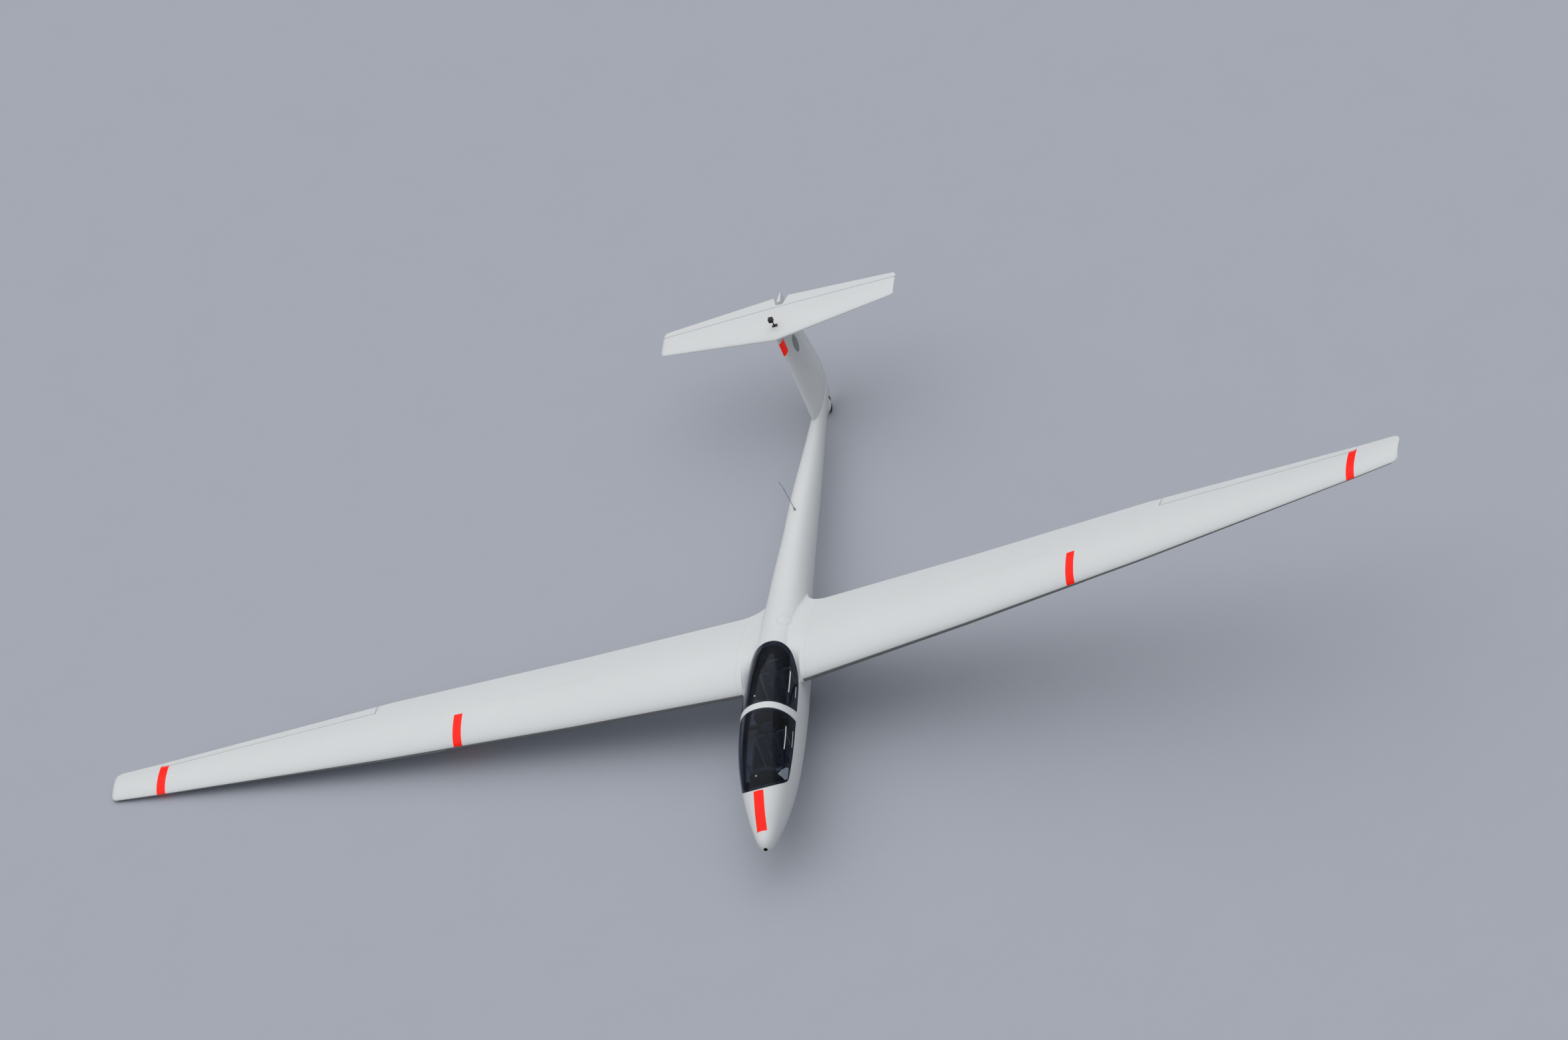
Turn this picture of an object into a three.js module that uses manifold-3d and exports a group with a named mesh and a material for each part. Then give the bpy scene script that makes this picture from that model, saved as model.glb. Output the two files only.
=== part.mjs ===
// Two-seat training glider with a T-tail, standing as it parks: on its main wheel, its tail wheel
// and the tip of its starboard wing. Millimetres, Z up.
// The body frame that the pieces are modelled in has its origin level with the nose,
// X to port, Y aft from the nose and Z up. The parked frame leans and pitches it onto the ground.

import * as THREE from 'three';
import { mergeVertices } from 'three/addons/utils/BufferGeometryUtils.js';
import Module from 'manifold-3d';

const wasm = await Module();
wasm.setup();

// Driving dimensions
const touchGap = 0.3;
const moveGap = 5.5;
const canopyGap = 5.8;
const skin = 12;
const bodySides = 24;
const bodyFullness = 2.2;
const far = 3000;

const bulkheadY = 3240;
const cavityFrontY = 150;
const cavityRearY = 2990;
const tailBoomEndY = 8040;

const wingRootX = 385;
const wingRootZ = 137;
const wingDihedral = Math.tan(THREE.MathUtils.degToRad(4));
const wingTipRise = 250;
const wingHalfSpan = 8500;

const mainWheel = { y: 3000, z: -500, radius: 180, width: 125, rim: 72, hub: 46, axle: 12, sides: 28 };
const noseWheel = { y: 950, z: -462, radius: 138, width: 92, rim: 56, hub: 40, axle: 9, sides: 22 };
const tailWheel = { y: 7860, z: -216, radius: 100, width: 56, rim: 52, hub: 34, axle: 7, sides: 20 };
const wellSide = 16;
const wellRound = 20;

const colours = {
  gelcoat: 0xd9dbdd,
  glass: 0x20242b,
  frame: 0x1b1c1f,
  seat: 0x8b8d90,
  cushion: 0x2f3b5c,
  panel: 0x1d1e20,
  tyre: 0x161616,
  metal: 0x9aa0a5,
  black: 0x141414,
};

// Fuselage sections from nose to tail, with the canopies in the outline.
// Columns: y, half width, z of the top, z of the widest line, z of the bottom
const fuselageTable = [
  [0, 14, -190, -205, -220],
  [14, 46, -152, -202, -252],
  [60, 84, -107, -194, -288],
  [180, 134, -52, -168, -332],
  [400, 200, 62, -118, -388],
  [670, 262, 168, -62, -438],
  [860, 300, 258, -24, -462],
  [1050, 325, 332, -4, -477],
  [1250, 345, 390, 12, -487],
  [1520, 357, 438, 30, -494],
  [1830, 361, 461, 44, -497],
  [2120, 359, 471, 54, -496],
  [2400, 352, 468, 60, -491],
  [2750, 335, 445, 62, -478],
  [3035, 318, 400, 60, -452],
  [3240, 304, 372, 56, -426],
  [3520, 285, 348, 52, -384],
  [3855, 262, 324, 44, -330],
  [4515, 228, 288, 30, -262],
  [5020, 200, 248, 6, -238],
  [5940, 165, 185, -12, -212],
  [6490, 137, 130, -34, -200],
  [7100, 103, 70, -58, -186],
  [7600, 70, 40, -75, -184],
  [7900, 48, 18, -88, -188],
  [tailBoomEndY, 34, 8, -94, -192],
];

// Edge of the cockpit openings in side view, from the nose deck along the sill to the rear deck.
// Columns: y, z
const sillLine = [
  [664, 176],
  [850, 20],
  [905, 4],
  [1184, 42],
  [1442, 74],
  [1830, 112],
  [2150, 130],
  [2400, 148],
  [2585, 188],
  [2740, 245],
  [2850, 292],
  [2930, 340],
  [2985, 378],
  [3035, 412],
];
const openingTopZ = 620;
const archFrontY = 1783;
// Rear face of the arch in side view, raked so that the rear canopy swings clear of it
const archRearFace = [
  [1882, 620],
  [1882, 470],
  [1888, 330],
  [1906, 230],
  [1938, 100],
  [1948, 60],
];
const glassThickness = 4;
const frameDepth = 24;
const frameWidth = 30;

// Wing sections from root to tip.
// Columns: x, y of the leading edge, chord, thickness as a share of the chord
const wingTable = [
  [wingRootX + touchGap, 2460, 1395, 0.19],
  [2600, 2497, 1214, 0.177],
  [5000, 2538, 1013, 0.16],
  [7930, 2588, 553, 0.135],
  [8420, 2600, 475, 0.125],
  [8472, 2616, 432, 0.1],
  [wingHalfSpan, 2656, 340, 0.05],
];
const wingCamber = 0.035;

// Tailplane sections from centre to tip, same columns as the wing
const tailplaneTable = [
  [0, 7490, 800, 0.115],
  [1400, 7738, 445, 0.11],
  [1520, 7762, 408, 0.09],
  [1550, 7790, 340, 0.05],
];
const tailplaneZ = 1263;

// Fin and rudder outline from the foot to the top.
// Columns: z, y of the leading edge, y of the trailing edge, thickness
const finTable = [
  [-238, 7720, 8085, 84],
  [-160, 7540, 8158, 96],
  [-40, 7360, 8250, 108],
  [70, 7290, 8322, 112],
  [200, 7317, 8345, 110],
  [700, 7443, 8345, 96],
  [1195, 7568, 8345, 84],
  [1320, 7600, 8345, 80],
];

// Hinge lines of the port control surfaces and the rudder, from end to end in the body frame
const aileronChordShare = 0.176;
const aileronInnerX = 5200;
const aileronOuterX = 7900;
const elevatorHingeY = 8080;
const elevatorEndX = 1545;
const rudderHingeFoot = [0, 8004, -240];
const rudderHingeTop = [0, 8160, 1320];
// Columns: share of the hinge's length, radius of the surface's nose
const elevatorNoses = [
  [0, 13],
  [0.5, 27],
  [1, 13],
];
const rudderNoses = [
  [0, 24],
  [0.28, 34],
  [1, 23],
];

// A closed mesh as a solid that can be joined and cut
function toSolid(geometry) {
  const plain = geometry.clone();
  plain.deleteAttribute('normal');
  plain.deleteAttribute('uv');
  const merged = mergeVertices(plain, 1e-3);
  const position = merged.attributes.position.array;
  const triangles = new Uint32Array(merged.index.array);
  if (signedVolume(position, triangles) < 0) {
    for (let i = 0; i < triangles.length; i += 3) {
      [triangles[i + 1], triangles[i + 2]] = [triangles[i + 2], triangles[i + 1]];
    }
  }
  const options = { numProp: 3, vertProperties: position, triVerts: triangles };
  return new wasm.Manifold(new wasm.Mesh(options));
}

function signedVolume(position, triangles) {
  const a = new THREE.Vector3();
  const b = new THREE.Vector3();
  const c = new THREE.Vector3();
  let sum = 0;
  for (let i = 0; i < triangles.length; i += 3) {
    a.fromArray(position, 3 * triangles[i]);
    b.fromArray(position, 3 * triangles[i + 1]);
    c.fromArray(position, 3 * triangles[i + 2]);
    sum += a.dot(b.cross(c));
  }
  return sum;
}

function toGeometry(solid) {
  const mesh = solid.getMesh();
  const geometry = new THREE.BufferGeometry();
  geometry.setAttribute('position', new THREE.BufferAttribute(mesh.vertProperties, 3));
  geometry.setIndex(new THREE.BufferAttribute(mesh.triVerts, 1));
  return geometry;
}

// A skin over rings of points, with a fan over each end
function loft(rings) {
  const count = rings[0].length;
  const points = [];
  const index = [];
  rings.forEach((ring) => ring.forEach((p) => points.push(p.x, p.y, p.z)));
  for (let r = 0; r + 1 < rings.length; r += 1) {
    for (let i = 0; i < count; i += 1) {
      const a = r * count + i;
      const b = r * count + ((i + 1) % count);
      index.push(a, b, b + count, a, b + count, a + count);
    }
  }
  [rings[0], rings[rings.length - 1]].forEach((ring, end) => {
    const centre = ring.reduce((sum, p) => sum.add(p), new THREE.Vector3()).divideScalar(count);
    const start = end * (rings.length - 1) * count;
    const middle = points.length / 3;
    points.push(centre.x, centre.y, centre.z);
    for (let i = 0; i < count; i += 1) {
      const pair = [start + i, start + ((i + 1) % count)];
      index.push(middle, pair[1 - end], pair[end]);
    }
  });
  const geometry = new THREE.BufferGeometry();
  geometry.setAttribute('position', new THREE.Float32BufferAttribute(points, 3));
  geometry.setIndex(index);
  return toSolid(geometry);
}

function box(x0, x1, y0, y1, z0, z1) {
  const geometry = new THREE.BoxGeometry(x1 - x0, y1 - y0, z1 - z0);
  geometry.translate((x0 + x1) / 2, (y0 + y1) / 2, (z0 + z1) / 2);
  return toSolid(geometry);
}

// A round bar between two points, which may taper
function bar(from, to, radius, endRadius = radius, sides = 12) {
  const a = new THREE.Vector3(...from);
  const b = new THREE.Vector3(...to);
  const geometry = new THREE.CylinderGeometry(endRadius, radius, a.distanceTo(b), sides);
  const turn = new THREE.Quaternion().setFromUnitVectors(
    new THREE.Vector3(0, 1, 0),
    b.clone().sub(a).normalize(),
  );
  geometry.applyQuaternion(turn);
  const middle = a.add(b).multiplyScalar(0.5);
  geometry.translate(middle.x, middle.y, middle.z);
  return toSolid(geometry);
}

// A side view outline of (y, z) points, as a slab between two x
function sideSlab(points, x0, x1) {
  const shape = new THREE.Shape(points.map(([y, z]) => new THREE.Vector2(y, z)));
  const geometry = new THREE.ExtrudeGeometry(shape, { depth: x1 - x0, bevelEnabled: false });
  const basis = new THREE.Matrix4().makeBasis(
    new THREE.Vector3(0, 1, 0),
    new THREE.Vector3(0, 0, 1),
    new THREE.Vector3(1, 0, 0),
  );
  geometry.applyMatrix4(basis);
  geometry.translate(x0, 0, 0);
  return toSolid(geometry);
}

// Fuselage loft, taken in by a wall thickness, between two stations of the table
function fuselageRing([y, half, top, middle, bottom], inset) {
  const ring = [];
  for (let i = 0; i < bodySides; i += 1) {
    const angle = (2 * Math.PI * i) / bodySides;
    const c = Math.cos(angle);
    const s = Math.sin(angle);
    const height = s > 0 ? top - middle - inset : middle - bottom - inset;
    const x = (half - inset) * Math.sign(c) * Math.abs(c) ** (2 / bodyFullness);
    const z = middle + height * Math.sign(s) * Math.abs(s) ** (2 / bodyFullness);
    ring.push(new THREE.Vector3(x, y, z));
  }
  return ring;
}

function sectionAt(table, key) {
  const after = table.findIndex((row) => row[0] >= key);
  if (table[after][0] === key) {
    return table[after];
  }
  const low = table[after - 1];
  const high = table[after];
  const share = (key - low[0]) / (high[0] - low[0]);
  return low.map((value, i) => value + share * (high[i] - value));
}

function fuselageLoft(from, to, inset) {
  const rows = fuselageTable.filter((row) => row[0] > from && row[0] < to);
  const all = [sectionAt(fuselageTable, from), ...rows, sectionAt(fuselageTable, to)];
  return loft(all.map((row) => fuselageRing(row, inset)));
}

// Side view of the cockpit openings, moved in from the edge by a gap
function openingOutline(gap) {
  const edge = sillLine.map(([y, z], i) => {
    const before = sillLine[Math.max(i - 1, 0)];
    const after = sillLine[Math.min(i + 1, sillLine.length - 1)];
    const run = new THREE.Vector2(after[0] - before[0], after[1] - before[1]).normalize();
    return [y - run.y * gap, z + run.x * gap];
  });
  const first = edge[0];
  const last = edge[edge.length - 1];
  return [...edge, [last[0] - 40, openingTopZ], [first[0] + 200, openingTopZ]];
}

function openingSlab(gap) {
  return sideSlab(openingOutline(gap), -far / 5, far / 5);
}

// Wing and tail sections: a thick rounded aerofoil with a blunt trailing edge
const foilStations = [0.93, 0.8, 0.64, 0.47, 0.32, 0.18, 0.08, 0.02];
const trailingHalf = 1.5;

function foilHalfThickness(share, ratio) {
  const root = Math.sqrt(share);
  const shape =
    0.2969 * root - 0.126 * share - 0.3516 * share ** 2 + 0.2843 * share ** 3 - 0.1036 * share ** 4;
  return 5 * ratio * shape;
}

function foilRing(x, leadY, chord, ratio, z, camber) {
  const point = (share, side) => {
    const mean = 4 * camber * share * (1 - share);
    const half = chord * foilHalfThickness(share, ratio) + trailingHalf * share;
    return new THREE.Vector3(x, leadY + share * chord, z + mean * chord + side * half);
  };
  const upper = foilStations.map((share) => point(share, 1));
  const lower = foilStations.map((share) => point(share, -1)).reverse();
  return [point(1, 1), ...upper, new THREE.Vector3(x, leadY, z), ...lower, point(1, -1)];
}

function wingZ(x) {
  const out = Math.max(Math.abs(x) - wingRootX, 0);
  return wingRootZ + wingDihedral * out + wingTipRise * (out / (wingHalfSpan - wingRootX)) ** 2;
}

function wingRings(side) {
  return wingTable.map(([x, leadY, chord, ratio]) =>
    foilRing(side * x, leadY, chord, ratio, wingZ(x), wingCamber),
  );
}

// A control surface hinged along a line: the frame's axes are along the hinge, aft and up
function hingeFrame(from, to) {
  const start = new THREE.Vector3(...from);
  const along = new THREE.Vector3(...to).sub(start);
  const length = along.length();
  along.normalize();
  const aft = new THREE.Vector3(0, 1, 0).addScaledVector(along, -along.y).normalize();
  const up = new THREE.Vector3().crossVectors(along, aft);
  const matrix = new THREE.Matrix4().makeBasis(along, aft, up).setPosition(start);
  return { matrix, length };
}

function framedBox(frame, a0, a1, f0, f1, u0, u1) {
  const geometry = new THREE.BoxGeometry(a1 - a0, f1 - f0, u1 - u0);
  geometry.translate((a0 + a1) / 2, (f0 + f1) / 2, (u0 + u1) / 2);
  geometry.applyMatrix4(frame.matrix);
  return toSolid(geometry);
}

function framedBar(frame, a0, a1, r0, r1, sides = noseSides) {
  const geometry = new THREE.CylinderGeometry(r1, r0, a1 - a0, sides);
  geometry.rotateZ(-Math.PI / 2);
  geometry.translate((a0 + a1) / 2, 0, 0);
  geometry.applyMatrix4(frame.matrix);
  return toSolid(geometry);
}

const coveGap = 6.5;
const lugWidth = 12;
const lugRadius = 8;
const lugDepth = 60;

// Radius of a surface's rounded nose along its hinge, from stations of [share of length, radius]
function noseAt(noses, share) {
  return sectionAt(noses, share)[1];
}

// The nose as round bars. A cove round it grows by a gap, measured to the flats of its facets.
const noseSides = 16;

function noseBar(frame, noses, grow, endGap) {
  const { length } = frame;
  const spread = grow > 0 ? 1 / Math.cos(Math.PI / noseSides) : 1;
  const ends = noses.map(([share]) => THREE.MathUtils.clamp(share, endGap / length, 1 - endGap / length));
  const bars = ends.slice(1).map((share, i) => {
    const radii = [ends[i], share].map((at) => (noseAt(noses, at) + grow) * spread);
    return framedBar(frame, ends[i] * length, share * length, radii[0], radii[1]);
  });
  return bars.reduce((sum, next) => sum.add(next));
}

// Cuts a lofted solid into a fixed part with a cove and lugs, and a surface that turns in it
function splitAtHinge(solid, from, to, noses, lugs) {
  const frame = hingeFrame(from, to);
  const { length } = frame;
  const reach = 1200;
  const behind = framedBox(frame, 0, length, 0, reach, -reach, reach);
  let fixed = solid.subtract(behind).subtract(noseBar(frame, noses, coveGap, 0));
  let moving = solid.intersect(framedBox(frame, moveGap, length - moveGap, 0, reach, -reach, reach));
  moving = moving.add(noseBar(frame, noses, 0, moveGap));
  lugs.forEach((share) => {
    const at = share * length;
    const a0 = at - lugWidth / 2;
    const a1 = at + lugWidth / 2;
    const nose = noseAt(noses, share);
    const half = Math.min(lugRadius, nose * 0.6);
    const slot = framedBox(frame, a0, a1, -reach, half + moveGap, -reach, reach);
    moving = moving.subtract(slot);
    const plate = framedBox(
      frame,
      a0 + touchGap,
      a1 - touchGap,
      -nose - coveGap - lugDepth / 4,
      0,
      -half,
      half,
    );
    const eye = framedBar(frame, a0 + touchGap, a1 - touchGap, half, half, 12);
    fixed = fixed.add(plate).add(eye);
  });
  return { fixed, moving };
}

// Fuselage

function wheelWell(wheel) {
  const half = wheel.width / 2 + wellSide;
  const radius = wheel.radius + wellRound;
  const round = bar([-half, wheel.y, wheel.z], [half, wheel.y, wheel.z], radius, radius, 32);
  const mouth = box(-half, half, wheel.y - radius, wheel.y + radius, wheel.z - 300, wheel.z);
  return round.add(mouth);
}

// The walls that close a wheel well off from the cockpit
function wellHousing(wheel) {
  const half = wheel.width / 2 + wellSide + skin;
  const radius = wheel.radius + wellRound + skin;
  const round = bar([-half, wheel.y, wheel.z], [half, wheel.y, wheel.z], radius, radius, 32);
  return round.add(box(-half, half, wheel.y - radius, wheel.y + radius, wheel.z - 60, wheel.z));
}

function wingStub() {
  const [, leadY, chord, ratio] = wingTable[0];
  const ends = [-wingRootX, wingRootX];
  return loft(ends.map((x) => foilRing(x, leadY, chord, ratio, wingRootZ, wingCamber)));
}

function noseInlet() {
  return bar([0, -20, -205], [0, 90, -205], 26, 26, 24);
}

function cavity() {
  const room = fuselageLoft(cavityFrontY, cavityRearY, skin);
  return room.subtract(wellHousing(mainWheel)).subtract(wellHousing(noseWheel));
}

// Canopy hinges: each canopy turns on two pins, and its arms bend round the edge of the opening.
// Arm stations run from the pin: distance toward the canopy's middle, height above the pin
const canopyHinges = {
  front: {
    y: 632,
    z: 121.5,
    toward: 1,
    arm: [[0, 0], [61, -73], [92, 10], [68, 38.5]],
  },
  rear: {
    y: 3069.8,
    z: 358.6,
    toward: -1,
    arm: [[0, 0], [61, -73], [98, 4], [91, 30]],
  },
};
const armX = 60;
const armHalfWidth = 7;
const armHalfDepth = 6;
const eyeRadius = 9;
const pinRadius = 4;

function pinAt({ y, z }, x0, x1, radius) {
  return bar([x0, y, z], [x1, y, z], radius, radius, 12);
}

// A flat arm through a row of stations, with an eye at its first
function canopyArm(hinge, side) {
  const x0 = side * armX - armHalfWidth;
  const x1 = side * armX + armHalfWidth;
  const stations = hinge.arm.map(([run, rise]) => [hinge.y + hinge.toward * run, hinge.z + rise]);
  let arm = pinAt(hinge, x0, x1, eyeRadius);
  stations.slice(1).forEach(([y, z], i) => {
    const [fromY, fromZ] = stations[i];
    const run = new THREE.Vector2(y - fromY, z - fromZ).normalize();
    const outY = -run.y * armHalfDepth;
    const outZ = run.x * armHalfDepth;
    const leg = [
      [fromY + outY, fromZ + outZ],
      [fromY - outY, fromZ - outZ],
      [y - outY, z - outZ],
      [y + outY, z + outZ],
    ];
    const corner = bar([x0, y, z], [x1, y, z], armHalfDepth, armHalfDepth, 8);
    arm = arm.add(sideSlab(leg, x0, x1)).add(corner);
  });
  return arm.subtract(pinAt(hinge, x0 - 1, x1 + 1, pinRadius + touchGap));
}

// Brackets under the nose deck that hold the front canopy's pins
function frontHingeBrackets() {
  const { front } = canopyHinges;
  const room = fuselageLoft(cavityFrontY, bulkheadY, skin / 2);
  const cheekGap = 1.5;
  const cheek = 6;
  const brackets = [-1, 1].map((side) => {
    const x = side * armX;
    const inner = armHalfWidth + cheekGap;
    const outer = inner + cheek;
    const block = box(x - outer, x + outer, front.y - 13, front.y + 13, front.z - 12, 300);
    const slot = box(x - inner, x + inner, 0, far, -far, 300);
    const pin = pinAt(front, x - outer + 1, x + outer - 1, pinRadius);
    return block.subtract(slot).intersect(room).add(pin);
  });
  return brackets[0].add(brackets[1]);
}

// Pockets under the rear deck where the rear canopy's arms swing, each crossed by its pin
function rearHingePocket(side) {
  const { rear } = canopyHinges;
  const half = armHalfWidth + moveGap;
  const outline = [
    [rear.y + 16, rear.z - 14],
    [rear.y + 16, rear.z + 14.5],
    [rear.y - 12, rear.z + 17],
    [rear.y - 60, rear.z + 34],
    [rear.y - 110, rear.z + 40],
    [rear.y - 110, rear.z - 110],
    [rear.y - 58, rear.z - 96],
    [rear.y - 44, rear.z - 80],
  ];
  return sideSlab(outline, side * armX - half, side * armX + half);
}

function rearHingePins() {
  const half = armHalfWidth + moveGap + 2;
  const { rear } = canopyHinges;
  const pins = [-1, 1].map((side) => pinAt(rear, side * armX - half, side * armX + half, pinRadius));
  return pins[0].add(pins[1]);
}

function cockpitShell() {
  let shell = fuselageLoft(0, bulkheadY - touchGap, 0);
  const stubPart = box(-far, far, 0, bulkheadY - touchGap, -far, far);
  shell = shell.add(wingStub().intersect(stubPart));
  shell = shell.subtract(cavity());
  shell = shell.subtract(openingSlab(0));
  shell = shell.subtract(wheelWell(mainWheel)).subtract(wheelWell(noseWheel));
  shell = shell.subtract(noseInlet()).add(frontHingeBrackets());
  shell = shell.subtract(rearHingePocket(1)).subtract(rearHingePocket(-1));
  return shell.add(rearHingePins());
}

function canopyArch() {
  const hoop = fuselageLoft(1500, 2120, 0).subtract(fuselageLoft(1450, 2200, skin + 8));
  const outline = [
    [archFrontY, 60],
    [archFrontY, openingTopZ],
    ...archRearFace,
  ];
  const band = sideSlab(outline, -far / 5, far / 5);
  return hoop.intersect(band).intersect(openingSlab(touchGap));
}

function canopyRegion(isFront, gap) {
  const outline = isFront
    ? [
        [400, -200],
        [archFrontY - gap, -200],
        [archFrontY - gap, openingTopZ],
        [400, openingTopZ],
      ]
    : [
        [3400, openingTopZ],
        ...archRearFace.map(([y, z]) => [y + gap, z]),
        [archRearFace[archRearFace.length - 1][0] + gap, -200],
        [3400, -200],
      ];
  return sideSlab(outline, -far / 5, far / 5).intersect(openingSlab(gap));
}

function canopyGlass(isFront) {
  const pane = fuselageLoft(400, 3240, 0).subtract(fuselageLoft(300, 3500, glassThickness));
  return pane.intersect(canopyRegion(isFront, canopyGap));
}

function canopyFrame(isFront) {
  const inset = glassThickness + touchGap;
  const band = fuselageLoft(400, 3240, inset).subtract(fuselageLoft(300, 3500, frameDepth));
  const region = canopyRegion(isFront, canopyGap);
  const rim = band.intersect(region.subtract(canopyRegion(isFront, canopyGap + frameWidth)));
  const hinge = isFront ? canopyHinges.front : canopyHinges.rear;
  return rim.add(canopyArm(hinge, 1)).add(canopyArm(hinge, -1));
}

function clearVisionWindow() {
  const pane = fuselageLoft(670, 1520, -4).subtract(fuselageLoft(600, 1830, -touchGap));
  const outline = [
    [838, 66],
    [884, 28],
    [1030, 70],
    [1000, 112],
    [935, 150],
    [862, 166],
  ];
  return pane.intersect(sideSlab(outline, 100, 600));
}

function tailBoom() {
  let boom = fuselageLoft(bulkheadY, tailBoomEndY, 0);
  boom = boom.add(wingStub().intersect(box(-far, far, bulkheadY, far * 2, -far, far)));
  boom = boom.add(finLoft().intersect(box(-far, far, 0, far * 4, -far, 0)));
  boom = boom.subtract(wheelWell(mainWheel));
  return boom.subtract(tailWheelSlot());
}

const tailSlotSide = 8;

function tailWheelSlot() {
  const { y, z, radius, width } = tailWheel;
  const half = width / 2 + tailSlotSide;
  const round = bar([-half, y, z], [half, y, z], radius + 9, radius + 9, 32);
  return round.add(box(-half, half, y - radius - 9, y + radius + 9, z - 200, z));
}

// Tail

function finLoft() {
  const rings = finTable.map(([z, leadY, trailY, thick]) => {
    const chord = trailY - leadY;
    return foilRing(0, leadY, chord, thick / chord, 0, 0).map(
      (p) => new THREE.Vector3(p.z, p.y, z),
    );
  });
  return loft(rings);
}

function tailplaneLoft(grow) {
  const right = tailplaneTable.slice(1).reverse();
  const rings = [
    ...right.map(([x, leadY, chord, ratio]) => [-x, leadY, chord, ratio]),
    ...tailplaneTable,
  ].map(([x, leadY, chord, ratio]) => {
    const ring = foilRing(x, leadY, chord, ratio, 0, 0);
    return ring.map((p) => new THREE.Vector3(p.x, p.y, tailplaneZ + p.z + Math.sign(p.z) * grow));
  });
  return loft(rings);
}

const elevatorNotch = [
  [46, 8118],
  [112, 8330],
  [-112, 8330],
  [-46, 8118],
];

function elevatorNotchSlab() {
  const shape = new THREE.Shape(elevatorNotch.map(([x, y]) => new THREE.Vector2(x, y)));
  const geometry = new THREE.ExtrudeGeometry(shape, { depth: 400, bevelEnabled: false });
  geometry.translate(0, 0, tailplaneZ - 200);
  return toSolid(geometry);
}

function tailplanePieces() {
  const hinge = [
    [-elevatorEndX, elevatorHingeY, tailplaneZ],
    [elevatorEndX, elevatorHingeY, tailplaneZ],
  ];
  const whole = tailplaneLoft(0);
  const pieces = splitAtHinge(whole, hinge[0], hinge[1], elevatorNoses, [0.12, 0.36, 0.64, 0.88]);
  pieces.moving = pieces.moving.subtract(elevatorNotchSlab());
  return pieces;
}

const finTopZ = 1196;

function finPieces() {
  const above = box(-far, far, 0, far * 4, touchGap, far);
  const whole = finLoft().intersect(above);
  const pieces = splitAtHinge(finLoft(), rudderHingeFoot, rudderHingeTop, rudderNoses, [0.3, 0.75]);
  const lowered = box(-far, far, 8020, far * 4, finTopZ, far);
  pieces.fixed = pieces.fixed.intersect(whole);
  pieces.fixed = pieces.fixed.subtract(fuselageLoft(7100, tailBoomEndY, -touchGap));
  pieces.fixed = pieces.fixed.subtract(tailplaneLoft(touchGap)).subtract(lowered);
  pieces.fixed = pieces.fixed.subtract(box(-far, far, 0, far * 4, tailplaneZ, far));
  return pieces;
}

// Wings

function aileronHinge(side) {
  return [aileronInnerX, aileronOuterX].map((x) => {
    const [, leadY, chord, ratio] = sectionAt(wingTable, x);
    const share = 1 - aileronChordShare;
    const lift = 4 * wingCamber * share * (1 - share) * chord;
    const nose = chord * foilHalfThickness(share, ratio) + trailingHalf;
    return { point: [side * x, leadY + share * chord, wingZSection(x) + lift], nose };
  });
}

// Height of the wing's chord line between two sections of its table
function wingZSection(x) {
  const after = wingTable.findIndex((row) => row[0] >= x);
  const low = wingTable[after - 1][0];
  const high = wingTable[after][0];
  const share = (x - low) / (high - low);
  return wingZ(low) + share * (wingZ(high) - wingZ(low));
}

const airbrake = {
  innerX: 2350,
  outerX: 3750,
  chordShare: 0.54,
  blade: 8,
  cap: 44,
  capDepth: 12,
  height: 140,
  travel: 120,
};

function airbrakeFrame(side) {
  const ends = [airbrake.innerX, airbrake.outerX].map((x) => {
    const [, leadY, chord, ratio] = sectionAt(wingTable, x);
    const share = airbrake.chordShare;
    const rise = 4 * wingCamber * share * (1 - share) + foilHalfThickness(share, ratio);
    return [side * x, leadY + share * chord, wingZSection(x) + rise * chord];
  });
  return hingeFrame(ends[0], ends[1]);
}

function wingPieces(side) {
  const [inner, outer] = aileronHinge(side);
  const noses = [
    [0, inner.nose],
    [1, outer.nose],
  ];
  const lugs = [0.12, 0.5, 0.88];
  const pieces = splitAtHinge(loft(wingRings(side)), inner.point, outer.point, noses, lugs);
  const brake = airbrakeSolids(side, pieces.fixed);
  return { wing: brake.wing, aileron: pieces.moving, airbrake: brake.plate };
}

function airbrakeSolids(side, wing) {
  const frame = airbrakeFrame(side);
  const { length } = frame;
  const up = side;
  const place = (a0, a1, f0, f1, low, high) => {
    const [u0, u1] = up > 0 ? [low, high] : [-high, -low];
    return framedBox(frame, a0, a1, f0, f1, u0, u1);
  };
  const { blade, cap, capDepth, height } = airbrake;
  const capSlot = place(0, length, -cap / 2 - moveGap, cap / 2 + moveGap, -capDepth - moveGap, 80);
  const halfSlot = blade / 2 + moveGap;
  const bladeSlot = place(0, length, -halfSlot, halfSlot, -height - moveGap - 4, 0);
  const runners = [0.2, 0.8].map((share) => {
    const a0 = share * length - 12;
    const low = -height - moveGap - 4;
    const column = place(a0, a0 + 24, -halfSlot - 1, halfSlot + 1, low, -capDepth - moveGap - 20);
    return column.subtract(place(a0 - 1, a0 + 25, -blade / 2 - touchGap, blade / 2 + touchGap, low - 1, 0));
  });
  let opened = wing.subtract(capSlot).subtract(bladeSlot);
  runners.forEach((runner) => {
    opened = opened.add(runner);
  });
  const capPlate = place(moveGap, length - moveGap, -cap / 2, cap / 2, -capDepth, 60).intersect(wing);
  const plate = place(moveGap, length - moveGap, -blade / 2, blade / 2, -height, -capDepth / 2);
  return { wing: opened, plate: capPlate.add(plate) };
}

// Wheels: a tyre, a rim with a bore and a fixed axle that it turns on

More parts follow.
